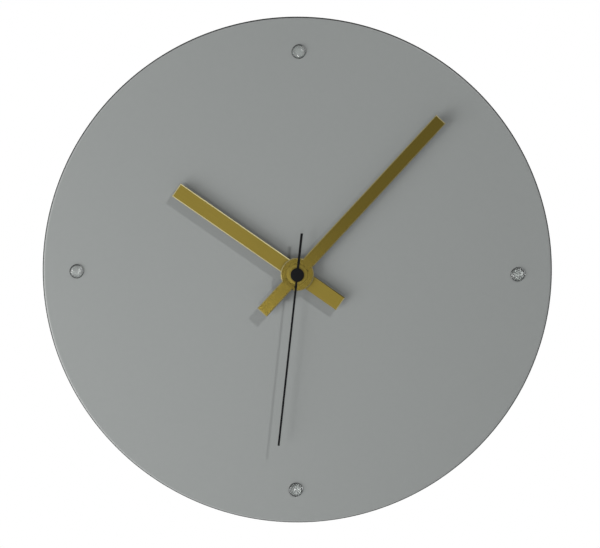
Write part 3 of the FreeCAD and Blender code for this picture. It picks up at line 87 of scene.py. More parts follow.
class Graph:
    """A node tree with short calls for adding and joining nodes."""

    colour_mix_inputs: tuple[int, ...] = (0, 6, 7)
    colour_mix_output: int = 2

    def __init__(self, tree: bpy.types.NodeTree) -> None:
        """Starts on the node tree that nodes are added to."""
        self.tree = tree

    def add(self, kind: str, settings: dict | None = None, **values: object) -> bpy.types.Node:
        """Adds a node, sets its options and fills or joins its inputs.

        Args:
            kind: Type name of the node.
            settings: Options of the node by attribute name.
            values: Input values or output sockets by input name, blanks written as underscores.

        Returns:
            The new node.
        """
        node = self.tree.nodes.new(kind)
        for name, value in (settings or {}).items():
            setattr(node, name, value)
        for name, value in values.items():
            self.feed(node.inputs[name.replace("_", " ")], value)
        return node

    def feed(self, socket: Socket, value: object) -> None:
        """Joins an output to a socket, or sets the socket's own value.

        Args:
            socket: The input to fill.
            value: An output socket, a number or a colour.
        """
        if isinstance(value, Socket):
            self.tree.links.new(value, socket)
        else:
            socket.default_value = value

    def maths(self, operation: str, first: object, second: object = 0.0, clamp: bool = False) -> Socket:
        """Adds a Math node.

        Args:
            operation: Name of the operation.
            first: First number or output.
            second: Second number or output.
            clamp: Whether the result is kept between 0 and 1.

        Returns:
            The output of the node.
        """
        node = self.add("ShaderNodeMath", {"operation": operation, "use_clamp": clamp})
        self.feed(node.inputs[0], first)
        self.feed(node.inputs[1], second)
        return node.outputs[0]

    def mix(self, share: object, first: object, second: object) -> Socket:
        """Mixes two colours.

        Args:
            share: Share of the second colour.
            first: First colour or output.
            second: Second colour or output.

        Returns:
            The mixed colour.
        """
        node = self.add("ShaderNodeMix", {"data_type": "RGBA"})
        for index, value in zip(self.colour_mix_inputs, (share, opaque(first), opaque(second))):
            self.feed(node.inputs[index], value)
        return node.outputs[self.colour_mix_output]

    def span(self, value: object, low: float, high: float, new_low: float = 0.0,
             new_high: float = 1.0) -> Socket:
        """Maps a value from one range to another, clamped.

        Args:
            value: Output to map.
            low: Start of the old range.
            high: End of the old range.
            new_low: Start of the new range.
            new_high: End of the new range.

        Returns:
            The mapped value.
        """
        node = self.add("ShaderNodeMapRange")
        for socket, number in zip(node.inputs, (value, low, high, new_low, new_high)):
            self.feed(socket, number)
        return node.outputs[0]


def blank_graph(owner: bpy.types.Material | bpy.types.World) -> Graph:
    """Clears the nodes of a material or world.

    Args:
        owner: The material or world.

    Returns:
        Its empty graph.
    """
    owner.use_nodes = True
    owner.node_tree.nodes.clear()
    return Graph(owner.node_tree)


def opaque(colour: object) -> object:
    """Gives a plain colour its fourth number and leaves an output as it is."""
    return (*colour, 1.0) if isinstance(colour, tuple) and len(colour) == 3 else colour


class Bench:
    """Blender's operators, used as by hand to make one piece from a primitive. Sizes are in metres."""

    @staticmethod
    def pick(piece: Piece) -> None:
        """Selects one piece alone and makes it the active one.

        Args:
            piece: The piece to pick.
        """
        bpy.ops.object.select_all(action="DESELECT")
        piece.select_set(True)
        bpy.context.view_layer.objects.active = piece

    @staticmethod
    def settle(piece: Piece, name: str) -> Piece:
        """Names a new primitive and moves its place, turn and size into its mesh.

        Args:
            piece: The primitive that was just added.
            name: Name of the piece.

        Returns:
            The piece.
        """
        piece.name = name
        piece.data.name = name
        Bench.fix_place()
        return piece

    @staticmethod
    def fix_place() -> None:
        """Moves the selected piece's place, turn and size into its mesh."""
        bpy.ops.object.transform_apply(location=True, rotation=True, scale=True)

    @staticmethod
    def round_bar(name: str, radius: float, rear: float, front: float, centre: Point = (0.0, 0.0),
                  sides: int = 96) -> Piece:
        """Adds a cylinder along the depth.

        Args:
            name: Name of the piece.
            radius: Radius of the cylinder.
            rear: Depth of its rear end from the wall.
            front: Depth of its front end from the wall.
            centre: Its x and z.
            sides: Number of its sides.

        Returns:
            The new piece.
        """
        bpy.ops.object.select_all(action="DESELECT")
        middle = (centre[0], -(rear + front) / 2, centre[1])
        bpy.ops.mesh.primitive_cylinder_add(vertices=sides, radius=radius, depth=front - rear,
                                            location=middle, rotation=(math.pi / 2, 0.0, 0.0))
        return Bench.settle(bpy.context.active_object, name)

    @staticmethod
    def flat_bar(name: str, low: Place, high: Place) -> Piece:
        """Adds a square-edged bar between two corners.

        Args:
            name: Name of the piece.
            low: Its lowest corner.
            high: Its highest corner.

        Returns:
            The new piece.
        """
        bpy.ops.object.select_all(action="DESELECT")
        middle = (Vector(low) + Vector(high)) / 2
        bpy.ops.mesh.primitive_cube_add(size=1.0, location=middle, scale=Vector(high) - Vector(low))
        return Bench.settle(bpy.context.active_object, name)

    @staticmethod
    def turned(name: str, profile: Profile, sides: int = 96) -> Piece:
        """Turns a piece round the hand axis by drawing a ring out along its profile.

        Args:
            name: Name of the piece.
            profile: Radius and depth of each ring, from first to last; a last radius of 0 closes the
                front, and a profile that ends where it began makes a bored piece.
            sides: Number of sides of each ring.

        Returns:
            The new piece.
        """
        bpy.ops.object.select_all(action="DESELECT")
        radius, depth = profile[0]
        closed_ring = profile[-1] == profile[0]
        pointed = profile[-1][0] == 0.0
        bpy.ops.mesh.primitive_circle_add(vertices=sides, radius=radius, location=(0.0, -depth, 0.0),
                                          rotation=(math.pi / 2, 0.0, 0.0),
                                          fill_type="NOTHING" if closed_ring else "NGON")
        piece = Bench.settle(bpy.context.active_object, name)
        bpy.ops.object.mode_set(mode="EDIT")
        bpy.ops.mesh.select_mode(type="EDGE")
        bpy.ops.mesh.select_all(action="SELECT")
        if not closed_ring:
            bpy.ops.mesh.region_to_loop()
        for new_radius, new_depth in profile[1:-1] if pointed else profile[1:]:
            bpy.ops.mesh.extrude_edges_move(
                TRANSFORM_OT_translate={"value": (0.0, depth - new_depth, 0.0)})
            share = new_radius / radius
            bpy.ops.transform.resize(value=(share, 1.0, share), center_override=(0.0, -new_depth, 0.0))
            radius, depth = new_radius, new_depth
        if pointed:
            bpy.ops.mesh.extrude_edges_move(
                TRANSFORM_OT_translate={"value": (0.0, depth - profile[-1][1], 0.0)})
            bpy.ops.mesh.merge(type="CENTER")
        elif not closed_ring:
            bpy.ops.mesh.edge_face_add()
        bpy.ops.mesh.select_all(action="SELECT")
        bpy.ops.mesh.remove_doubles(threshold=MERGE_DISTANCE)
        bpy.ops.mesh.normals_make_consistent(inside=False)
        bpy.ops.object.mode_set(mode="OBJECT")
        return piece

    @staticmethod
    def combine(piece: Piece, tool: Piece, operation: str) -> None:
        """Joins a tool to a piece or cuts it away, and removes the tool.

        Args:
            piece: The piece that stays.
            tool: The piece that is used up.
            operation: UNION, DIFFERENCE or INTERSECT.
        """
        modifier = piece.modifiers.new("combine", "BOOLEAN")
        modifier.operation = operation
        modifier.solver = "EXACT"
        modifier.object = tool
        Bench.pick(piece)
        bpy.ops.object.modifier_apply(modifier=modifier.name)
        bpy.data.objects.remove(tool)

    @staticmethod
    def bevel(piece: Piece, wanted: Callable[[Edge], bool], width: float) -> None:
        """Joins the faces that lie flat together and bevels the edges that a test picks.

        Args:
            piece: The piece to bevel.
            wanted: Test of an edge.
            width: How far the bevel reaches from the edge.
        """
        Bench.pick(piece)
        bpy.ops.object.mode_set(mode="EDIT")
        bpy.ops.mesh.select_mode(type="EDGE")
        bpy.ops.mesh.select_all(action="SELECT")
        bpy.ops.mesh.dissolve_limited(angle_limit=math.radians(LEVEL_ANGLE))
        bpy.ops.mesh.select_all(action="DESELECT")
        mesh = bmesh.from_edit_mesh(piece.data)
        for edge in mesh.edges:
            edge.select = len(edge.link_faces) == 2 and wanted(edge)
        bmesh.update_edit_mesh(piece.data)
        bpy.ops.mesh.bevel(offset=width, segments=1, affect="EDGES", material=-1)
        bpy.ops.object.mode_set(mode="OBJECT")

    @staticmethod
    def raise_face(piece: Piece, depth: float, width: float, height: float) -> None:
        """Insets the flat front of a piece and draws it forward, which leaves a sloping edge.

        Args:
            piece: The piece to shape.
            depth: Depth of its flat front.
            width: Width of the sloping edge.
            height: How far the front is drawn forward.
        """
        Bench.pick(piece)
        bpy.ops.object.mode_set(mode="EDIT")
        bpy.ops.mesh.select_mode(type="FACE")
        bpy.ops.mesh.select_all(action="DESELECT")
        mesh = bmesh.from_edit_mesh(piece.data)
        for face in mesh.faces:
            at_front = abs(face.calc_center_median().y + depth) < FLAT_TOLERANCE
            face.select = at_front and face.normal.y < -SQUARE_ON
        bmesh.update_edit_mesh(piece.data)
        bpy.ops.mesh.inset(thickness=width, depth=0.0, use_boundary=True)
        bpy.ops.transform.translate(value=(0.0, -height, 0.0))
        bpy.ops.object.mode_set(mode="OBJECT")

    @staticmethod
    def turn(piece: Piece, degrees: float) -> None:
        """Turns a piece clockwise, as seen from the front, round the hand axis.

        Args:
            piece: The piece to turn.
            degrees: How far it turns.
        """
        Bench.pick(piece)
        piece.rotation_euler = (0.0, math.radians(degrees), 0.0)
        Bench.fix_place()

    @staticmethod
    def lay_along_x(piece: Piece, place: Place) -> None:
        """Lays a turned piece down with its front to +X and moves its axis to a place.

        Args:
            piece: The piece, turned round the hand axis.
            place: Where the start of its axis goes.
        """
        Bench.pick(piece)
        piece.rotation_euler = (0.0, 0.0, math.pi / 2)
        piece.location = place
        Bench.fix_place()

    @staticmethod
    def smooth(piece: Piece, degrees: float = 30.0) -> None:
        """Shades a piece smooth where its faces meet at less than an angle.

        Args:
            piece: The piece to shade.
            degrees: The angle.
        """
        Bench.pick(piece)
        bpy.ops.object.shade_smooth_by_angle(angle=math.radians(degrees))
        piece.select_set(False)


def report(piece: Piece) -> None:
    """Logs a finished piece."""
    LOG.info("%s: %d faces", piece.name, len(piece.data.polygons))


def arc(centre: Point, radius: float, start: float, end: float, steps: int) -> Profile:
    """Points of an arc in a profile.

    Args:
        centre: Radius and depth of its centre.
        radius: Radius of the arc.
        start: First angle, in degrees from the radial direction towards the front.
        end: Last angle.
        steps: Number of its steps.

    Returns:
        The points from first to last.
    """
    angles = [math.radians(start + (end - start) * step / steps) for step in range(steps + 1)]
    return [(centre[0] + radius * math.cos(turn), centre[1] + radius * math.sin(turn)) for turn in angles]


def at_outline(edge: Edge, end: float, bore: float, margin: float = 0.2 * MM) -> bool:
    """Tells whether an edge is where a flat end meets an outer wall.

    Args:
        edge: The edge to test.
        end: Depth of the flat end.
        bore: Radius of the bore, whose edge isn't meant.
        margin: How far outside the bore an edge has to reach.

    Returns:
        Whether the edge is meant.
    """
    facing = [abs(face.normal.y) for face in edge.link_faces]
    at_end = all(abs(vertex.co.y + end) < FLAT_TOLERANCE for vertex in edge.verts)
    outside = any(math.hypot(vertex.co.x, vertex.co.z) > bore + margin for vertex in edge.verts)
    return at_end and outside and max(facing) > NEARLY_SQUARE_ON and min(facing) < NEARLY_EDGE_ON


class Effects:
    """The node groups that the materials share."""

    coarse_share: float = 0.23
    grain_limits: tuple[float, float] = (0.35, 0.65)
    cloud_limits: tuple[float, float] = (0.3, 0.7)
    edge_limits: tuple[float, float] = (0.98, 0.75)
    rubbing_limits: tuple[float, float] = (0.38, 0.62)

    def __init__(self) -> None:
        """Builds each group once."""
        self.grain = self.build_grain()
        self.blotches = self.build_blotches()
        self.edge_wear = self.build_edge_wear()
        self.turning = self.build_turning()

    def start(self, name: str, inputs: dict[str, str],
              outputs: tuple[str, ...]) -> tuple[Graph, bpy.types.Node, bpy.types.Node]:
        """Starts a group with its sockets.

        Args:
            name: Name of the group.
            inputs: Socket types by input name.
            outputs: Names of its outputs, which are all numbers.

        Returns:
            The graph of the group, its input node and its output node.
        """
        tree = bpy.data.node_groups.new(name, "ShaderNodeTree")
        for label, kind in inputs.items():
            tree.interface.new_socket(name=label, in_out="INPUT", socket_type=kind)
        for label in outputs:
            tree.interface.new_socket(name=label, in_out="OUTPUT", socket_type="NodeSocketFloat")
        graph = Graph(tree)
        return graph, graph.add("NodeGroupInput"), graph.add("NodeGroupOutput")

    def build_grain(self) -> bpy.types.NodeTree:
        """Builds the fine grain of a surface, as a height and as a mask for colour and roughness.

        Returns:
            The group.
        """
        sockets = {"Vector": "NodeSocketVector", "Scale": "NodeSocketFloat"}
        graph, into, out = self.start("SurfaceGrain", sockets, ("Height", "Mask"))
        fine = graph.add("ShaderNodeTexNoise", Vector=into.outputs["Vector"], Scale=into.outputs["Scale"],
                         Detail=4.0, Roughness=0.6)
        coarse_scale = graph.maths("MULTIPLY", into.outputs["Scale"], self.coarse_share)
        coarse = graph.add("ShaderNodeTexNoise", Vector=into.outputs["Vector"], Scale=coarse_scale,
                           Detail=2.0)
        mask = graph.span(coarse.outputs[0], *self.grain_limits)
        graph.feed(out.inputs["Height"], fine.outputs[0])
        graph.feed(out.inputs["Mask"], mask)
        return graph.tree

    def build_blotches(self) -> bpy.types.NodeTree:
        """Builds broad, faint clouds over a surface.

        Returns:
            The group.
        """
        graph, into, out = self.start("Blotches", {"Scale": "NodeSocketFloat"}, ("Mask",))
        place = graph.add("ShaderNodeTexCoord").outputs["Object"]
        clouds = graph.add("ShaderNodeTexNoise", Vector=place, Scale=into.outputs["Scale"], Detail=3.0,
                           Distortion=0.4)
        graph.feed(out.inputs["Mask"], graph.span(clouds.outputs[0], *self.cloud_limits))
        return graph.tree

    def build_edge_wear(self) -> bpy.types.NodeTree:
        """Builds rubbed places along the edges of a piece, broken up by noise.

        Returns:
            The group.
        """
        sockets = {"Radius": "NodeSocketFloat", "Scale": "NodeSocketFloat"}
        graph, into, out = self.start("EdgeWear", sockets, ("Mask",))
        round_normal = graph.add("ShaderNodeBevel", {"samples": 4}, Radius=into.outputs["Radius"])
        flat_normal = graph.add("ShaderNodeNewGeometry").outputs["True Normal"]
        dot = graph.add("ShaderNodeVectorMath", {"operation": "DOT_PRODUCT"})
        graph.feed(dot.inputs[0], round_normal.outputs[0])
        graph.feed(dot.inputs[1], flat_normal)
        edge = graph.span(dot.outputs["Value"], *self.edge_limits)
        place = graph.add("ShaderNodeTexCoord").outputs["Object"]
        rubbing = graph.add("ShaderNodeTexNoise", Vector=place, Scale=into.outputs["Scale"], Detail=5.0)
        broken = graph.span(rubbing.outputs[0], *self.rubbing_limits)
        graph.feed(out.inputs["Mask"], graph.maths("MULTIPLY", edge, broken, clamp=True))
        return graph.tree

    def build_turning(self) -> bpy.types.NodeTree:
        """Builds the concentric lines that a lathe leaves round an axis along Y.

        Returns:
            The group.
        """
        sockets = {"Vector": "NodeSocketVector", "Scale": "NodeSocketFloat"}
        graph, into, out = self.start("TurningLines", sockets, ("Height",))
        parts = graph.add("ShaderNodeSeparateXYZ", Vector=into.outputs["Vector"]).outputs
        across = graph.maths("MULTIPLY", parts["X"], parts["X"])
        upward = graph.maths("MULTIPLY", parts["Z"], parts["Z"])
        radius = graph.maths("SQRT", graph.maths("ADD", across, upward))
        spiral = graph.add("ShaderNodeCombineXYZ", X=radius, Y=parts["Y"])
        lines = graph.add("ShaderNodeTexNoise", Vector=spiral.outputs[0], Scale=into.outputs["Scale"],
                          Detail=3.0)
        graph.feed(out.inputs["Height"], lines.outputs[0])
        return graph.tree


@dataclass(frozen=True)
class Finish:
    """A surface finish with its colour, gloss, grain and wear, in metres."""

    name: str
    colour: Colour
    second_colour: Colour
    worn_colour: Colour
    roughness: float
    roughness_spread: float = 0.08
    metallic: float = 0.0
    grain_scale: float = 2500.0
    grain_height: float = 0.01 * MM
    blotch_scale: float = 25.0
    wear_radius: float = 0.12 * MM
    wear_share: float = 0.5
    lines: Lines = Lines.NONE
    turn: float = 0.0
    stretch: float = 40.0
    centre: Place = (0.0, 0.0, 0.0)
    coat: float = 0.0
    coat_roughness: float = 0.15
    ior: float = 1.5
    specular: float = 0.5
    transmission: float = 0.0
    cloud_share: float = 0.6
    rubbing_share: float = 0.2

    def build(self, effects: Effects) -> bpy.types.Material:
        """Makes the material of this finish.

        Args:
            effects: The shared node groups.

        Returns:
            The new material.
        """
        material = bpy.data.materials.new(self.name)
        graph = blank_graph(material)
        height, mask = self.surface(graph, effects)
        clouds = graph.add("ShaderNodeGroup", {"node_tree": effects.blotches}, Scale=self.blotch_scale)
        wear = graph.add("ShaderNodeGroup", {"node_tree": effects.edge_wear}, Radius=self.wear_radius,
                         Scale=self.grain_scale * self.rubbing_share)
        worn = graph.maths("MULTIPLY", wear.outputs["Mask"], self.wear_share)
        cloud_tone = graph.maths("MULTIPLY", clouds.outputs["Mask"], self.cloud_share)
        tone = graph.maths("ADD", cloud_tone, graph.maths("MULTIPLY", mask, 1.0 - self.cloud_share))
        colour = graph.mix(worn, graph.mix(tone, self.colour, self.second_colour), self.worn_colour)
        spread = self.roughness_spread / 2
        rough = graph.span(tone, 0.0, 1.0, self.roughness - spread, self.roughness + spread)
        bump = graph.add("ShaderNodeBump", Distance=self.grain_height, Height=height, Strength=1.0)
        shader = graph.add("ShaderNodeBsdfPrincipled", Base_Color=self.finish_colour(graph, colour),
                           Roughness=rough, Normal=bump.outputs[0], Metallic=self.metallic, IOR=self.ior,
                           Coat_Weight=self.coat, Coat_Roughness=self.coat_roughness,
                           Specular_IOR_Level=self.finish_specular(graph),
                           Transmission_Weight=self.transmission)
        graph.add("ShaderNodeOutputMaterial", Surface=shader.outputs[0])
        return material

    def finish_colour(self, graph: Graph, colour: Socket) -> Socket:
        """Gives the shader's colour from the one with clouds and wear; a special finish changes it."""
        return colour

    def finish_specular(self, graph: Graph) -> Socket | float:
        """Gives the shader's specular level; a special finish changes it."""
        return self.specular

    def surface(self, graph: Graph, effects: Effects) -> tuple[Socket, Socket]:
        """Lays the grain or the tool lines.

        Args:
            graph: Graph of the material.
            effects: The shared node groups.

        Returns:
            The height of the surface and a mask of its coarse grain.
        """
        place = graph.add("ShaderNodeTexCoord").outputs["Object"]
        mapping = graph.add("ShaderNodeMapping", {"vector_type": "TEXTURE"}, Vector=place,
                            Location=self.centre)
        if self.lines is Lines.STRAIGHT:
            mapping.inputs["Rotation"].default_value = (0.0, math.radians(self.turn), 0.0)
            mapping.inputs["Scale"].default_value = (1.0, 1.0, self.stretch)
        grain = graph.add("ShaderNodeGroup", {"node_tree": effects.grain}, Vector=mapping.outputs[0],
                          Scale=self.grain_scale)
        if self.lines is not Lines.TURNED:
            return grain.outputs["Height"], grain.outputs["Mask"]
        turned = graph.add("ShaderNodeGroup", {"node_tree": effects.turning}, Vector=mapping.outputs[0],
                           Scale=self.grain_scale)
        return turned.outputs["Height"], grain.outputs["Mask"]


@dataclass(frozen=True)
class SlopeShadedFinish(Finish):
    """A finish with painted light by slope: painted shade where a surface falls away steeply from the front,
    in place of the dark that a steep glossy edge shows, and a painted highlight on a gently sloping rim band
    where one is given.
    """

    painted_edge_shade: Colour = (0.12, 0.125, 0.125)
    gentle: float = 0.985
    steep: float = 0.82
    painted_rim_highlight: Colour | None = None
    painted_rim_highlight_limits: tuple[float, float] = (0.999, 0.97)
    wall_specular: float | None = None

    def finish_colour(self, graph: Graph, colour: Socket) -> Socket:
        """Paints a highlight on the rim where there is one, and paints shade on the steep wall.

        Args:
            graph: Graph of the material.
            colour: Colour with clouds and wear.

        Returns:
            The colour for the shader.
        """
        slope = self.slope(graph)
        # Painted highlight on the rim band, then painted shade on the steep wall, both picked by slope.
        if self.painted_rim_highlight:
            colour = graph.mix(graph.span(slope, *self.painted_rim_highlight_limits), colour, self.painted_rim_highlight)
        return graph.mix(graph.span(slope, self.gentle, self.steep), colour, self.painted_edge_shade)

    def finish_specular(self, graph: Graph) -> Socket | float:
        """Takes the gloss off the steep wall.

        Args:
            graph: Graph of the material.

        Returns:
            The specular level for the shader.
        """
        if self.wall_specular is None:
            return self.specular
        return graph.span(self.slope(graph), self.gentle, self.steep, self.specular, self.wall_specular)

    def slope(self, graph: Graph) -> Socket:
        """Measures how squarely a surface faces front or rear: 1 when flat on, 0 when edge on."""
        normal = graph.add("ShaderNodeNewGeometry").outputs["Normal"]
        return graph.maths("ABSOLUTE", graph.add("ShaderNodeSeparateXYZ", Vector=normal).outputs["Y"])


# The plate's steep edge wall gets painted shade, near black with its gloss taken off, for the dark the edge
# reflects; the rim band gets a lighter painted highlight.
PLATE = SlopeShadedFinish(
    "satin_grey_plate", (0.272, 0.2865, 0.281), (0.280, 0.2945, 0.289), (0.315, 0.33, 0.325), 0.42, 0.05,
    grain_scale=1400.0, grain_height=0.004 * MM, blotch_scale=9.0, wear_radius=0.3 * MM, wear_share=0.4,
    specular=0.45, painted_edge_shade=(0.05, 0.053, 0.052), gentle=0.87, steep=0.70,
    painted_rim_highlight=(0.33, 0.345, 0.34), wall_specular=0.0)
# The studs' steep sides take the default painted shade: a painted dark ring for the dark that the dome's edge
# refracts.
STUD = SlopeShadedFinish(
    "clear_stud", (0.97, 0.98, 0.975), (0.94, 0.96, 0.95), (0.9, 0.92, 0.91), 0.14, 0.02,
    grain_scale=900.0, grain_height=0.001 * MM, transmission=1.0, ior=1.49, wear_share=0.2)
# The hands are one brass-tone finish; the hour hand's lighter base colour is a lit copy and the minute hand's
# darker one a shaded copy, painted light from how each catches the lamps.
HOUR_HAND = Finish(
    "brass_tone_hour_hand_lit_copy", (0.182, 0.138, 0.0277), (0.168, 0.128, 0.0253), (0.34, 0.30, 0.15), 0.50, 0.06,
    metallic=1.0, grain_scale=9000.0, grain_height=0.006 * MM, lines=Lines.STRAIGHT, turn=HOUR_HAND_TURN,
    wear_radius=0.1 * MM, wear_share=0.3)
MINUTE_HAND = Finish(
    "brass_tone_minute_hand_shaded_copy", (0.100, 0.075, 0.0148), (0.092, 0.069, 0.0133), (0.30, 0.26, 0.13), 0.22,
    0.06, metallic=1.0, grain_scale=9000.0, grain_height=0.006 * MM, lines=Lines.STRAIGHT,
    turn=MINUTE_HAND_TURN, wear_radius=0.1 * MM, wear_share=0.3)
# The cut chamfer's lighter tan is partly the bare cut metal and partly a painted highlight for its glint.
CUT_EDGE = Finish(
    "diamond_cut_edge_and_painted_glint", (0.42, 0.375, 0.195), (0.39, 0.345, 0.18), (0.48, 0.43, 0.25), 0.46, 0.06,
    metallic=0.35, grain_scale=7000.0, grain_height=0.001 * MM, wear_share=0.2, specular=0.3)
# Painted shade: a darker copy of the cut edge for the minute hand, whose edges catch less light.
MINUTE_CUT_EDGE = Finish(
    "cut_edge_shaded_copy", (0.25, 0.215, 0.10), (0.235, 0.20, 0.093), (0.33, 0.29, 0.15), 0.46, 0.06,
    metallic=0.35, grain_scale=7000.0, grain_height=0.001 * MM, wear_share=0.2, specular=0.3)
HAND_BUSH = Finish(
    "brass_tone_bush", (0.160, 0.122, 0.025), (0.145, 0.110, 0.0225), (0.33, 0.29, 0.16), 0.34, 0.08,
    metallic=1.0, grain_scale=9000.0, grain_height=0.002 * MM, lines=Lines.TURNED, wear_radius=0.1 * MM,
    wear_share=0.7)
BLACK_HAND = Finish(
    "black_lacquer", (0.003, 0.003, 0.0036), (0.005, 0.005, 0.0055), (0.02, 0.02, 0.02), 0.42, 0.08,
    grain_scale=5000.0, grain_height=0.002 * MM, wear_share=0.3, specular=0.07)
BRASS = Finish(
    "turned_brass", (0.60, 0.43, 0.17), (0.52, 0.36, 0.13), (0.78, 0.62, 0.34), 0.26, 0.10, metallic=1.0,
    grain_scale=9000.0, grain_height=0.004 * MM, lines=Lines.TURNED)
STEEL = Finish(
    "bright_steel", (0.56, 0.56, 0.57), (0.48, 0.48, 0.49), (0.72, 0.72, 0.72), 0.22, 0.08, metallic=1.0,
    grain_scale=8000.0, grain_height=0.003 * MM, lines=Lines.TURNED)
RUBBER = Finish(
    "matt_rubber", (0.014, 0.014, 0.015), (0.024, 0.024, 0.024), (0.05, 0.05, 0.05), 0.78, 0.12,
    grain_scale=3000.0, grain_height=0.02 * MM)
CASE_PLASTIC = Finish(
    "spark_eroded_black", (0.016, 0.016, 0.018), (0.022, 0.022, 0.024), (0.07, 0.07, 0.072), 0.55, 0.12,
    grain_scale=1900.0, grain_height=0.03 * MM, wear_radius=0.2 * MM, wear_share=0.6, specular=0.28)
WHITE_PLASTIC = Finish(
    "moulded_white", (0.74, 0.73, 0.69), (0.69, 0.68, 0.63), (0.82, 0.81, 0.78), 0.38, 0.10,
    grain_scale=2600.0, grain_height=0.005 * MM)
MAGNET = Finish(
    "sintered_magnet", (0.07, 0.07, 0.075), (0.045, 0.045, 0.05), (0.16, 0.16, 0.16), 0.5, 0.14,
    metallic=0.8, grain_scale=4500.0, grain_height=0.02 * MM)
COPPER = Finish(
    "enamelled_copper", (0.55, 0.19, 0.06), (0.42, 0.13, 0.04), (0.75, 0.36, 0.16), 0.28, 0.1,
    metallic=1.0, grain_scale=7000.0, grain_height=0.03 * MM, lines=Lines.STRAIGHT, coat=0.6)
NICKEL = Finish(
    "nickel_plate", (0.52, 0.50, 0.47), (0.44, 0.43, 0.40), (0.66, 0.64, 0.6), 0.24, 0.1, metallic=1.0,
    grain_scale=5000.0, grain_height=0.004 * MM, lines=Lines.STRAIGHT, turn=90.0, stretch=20.0)
BOARD = Finish(
    "board_laminate", (0.31, 0.19, 0.06), (0.24, 0.14, 0.04), (0.42, 0.30, 0.13), 0.45, 0.12,
    grain_scale=3200.0, grain_height=0.01 * MM, lines=Lines.STRAIGHT, turn=90.0, stretch=8.0, coat=0.3)
RESIN = Finish(
    "poured_resin", (0.008, 0.008, 0.009), (0.016, 0.016, 0.016), (0.03, 0.03, 0.03), 0.16, 0.08,
    grain_scale=700.0, grain_height=0.02 * MM, coat=0.4)
CELL = Finish(
    "cell_sleeve", (0.035, 0.05, 0.065), (0.045, 0.06, 0.075), (0.12, 0.13, 0.14), 0.24, 0.08,
    grain_scale=1500.0, grain_height=0.004 * MM, coat=0.5)
CELL_BAND = Finish(
    "cell_band", (0.42, 0.43, 0.44), (0.46, 0.47, 0.48), (0.55, 0.55, 0.56), 0.24, 0.08, metallic=0.6,
    grain_scale=1500.0, grain_height=0.004 * MM, coat=0.5)
SIGN_PRINT = Finish(
    "pale_print", (0.36, 0.36, 0.37), (0.42, 0.42, 0.43), (0.2, 0.2, 0.2), 0.5, 0.1,
    grain_scale=2600.0, grain_height=0.005 * MM, wear_share=0.6)

SLOT_FINISHES = {
    "satin_grey_plate": PLATE, "clear_stud": STUD, "black_hand": BLACK_HAND, "brass": BRASS,
    "steel": STEEL, "rubber": RUBBER, "black_plastic": CASE_PLASTIC, "white_plastic": WHITE_PLASTIC,
    "magnet": MAGNET, "copper": COPPER, "nickel": NICKEL, "board": BOARD, "resin": RESIN, "cell": CELL,
}
NODE_FINISHES = {"hour_hand": HOUR_HAND, "minute_hand": MINUTE_HAND}


@dataclass
class Wardrobe:
    """The built materials, one of each finish."""

    effects: Effects
    built: dict[str, bpy.types.Material] = field(default_factory=dict)

    def get(self, finish: Finish) -> bpy.types.Material:
        """Gives the material of a finish, built on its first use.

        Args:
            finish: The finish.

        Returns:
            Its material.
        """
        if finish.name not in self.built:
            self.built[finish.name] = finish.build(self.effects)
        return self.built[finish.name]

    def dress(self, piece: Piece, finish: Finish) -> None:
        """Puts one finish on a piece, in place of what it had."""
        piece.data.materials.clear()
        piece.data.materials.append(self.get(finish))


@dataclass
class FlatHand:
    """A stamped hand with square ends, a round eye and diamond-cut front edges."""

    name: str
    body: str
    length: float
    tail: float
    width: float
    eye_diameter: float
    bore: float
    rear: float
    turn: float
    face: Finish
    cut: Finish
    thickness: float = 1.0 * MM
    cut_width: float = 0.5 * MM
    cut_depth: float = 0.28 * MM
    rear_chamfer: float = 0.08 * MM
    eye_sides: int = 128
    cut_slopes: tuple[float, float] = (-0.97, -0.5)

    def build(self, wardrobe: Wardrobe) -> None:
        """Models, dresses and places the hand.

        Args:
            wardrobe: The built materials.
        """
        shoulder = self.rear + self.thickness - self.cut_depth
        hand = Bench.flat_bar(self.name + "_blade", (-self.width / 2, -shoulder, -self.tail),
                              (self.width / 2, -self.rear, self.length))
        eye = Bench.round_bar("eye", self.eye_diameter / 2, self.rear, shoulder, sides=self.eye_sides)
        Bench.combine(hand, eye, "UNION")
        bore = Bench.round_bar("bore", self.bore, self.rear - CUT_OVERRUN, shoulder + CUT_OVERRUN)
        Bench.combine(hand, bore, "DIFFERENCE")
        hand.data.materials.clear()
        hand.data.materials.append(wardrobe.get(self.face))
        hand.data.materials.append(wardrobe.get(self.cut))
        Bench.bevel(hand, lambda edge: at_outline(edge, self.rear, self.bore), self.rear_chamfer)
        Bench.raise_face(hand, shoulder, self.cut_width, self.cut_depth)
        flattest, steepest = self.cut_slopes
        for face in hand.data.polygons:
            face.material_index = int(flattest < face.normal.y < steepest)
        Bench.turn(hand, self.turn)
        Bench.smooth(hand, CRISP_ANGLE)
        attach(hand, self.body)
        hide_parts(self.name)
        report(hand)


@dataclass
class RoundPlate:
    """The plate, with a finely divided rim so that its round edge shades evenly."""

    radius: float = 150.0 * MM
    hole: float = 4.2 * MM
    thickness: float = 4.0 * MM
    front_round: float = 1.6 * MM
    rear_round: float = 0.4 * MM
    flat_margin: float = 0.3 * MM
    sides: int = 360

    def build(self, wardrobe: Wardrobe) -> None:
        """Models, dresses and places the plate.

        Args:
            wardrobe: The built materials.
        """
        front = -PLATE_FACE
        rear = front - self.thickness
        rear_centre = (self.radius - self.rear_round, rear + self.rear_round)
        front_centre = (self.radius - self.front_round, front - self.front_round)
        profile = [(self.hole, rear), (rear_centre[0] - self.flat_margin, rear)]
        profile += arc(rear_centre, self.rear_round, -90.0, 0.0, steps=3)
        profile += arc(front_centre, self.front_round, 0.0, 90.0, steps=10)
        profile += [(front_centre[0] - self.flat_margin, front), (self.hole, front), (self.hole, rear)]
        plate = Bench.turned("round_plate", profile, self.sides)
        Bench.smooth(plate)
        wardrobe.dress(plate, PLATE)
        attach(plate, "clock")
        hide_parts("dial_plate")
        report(plate)


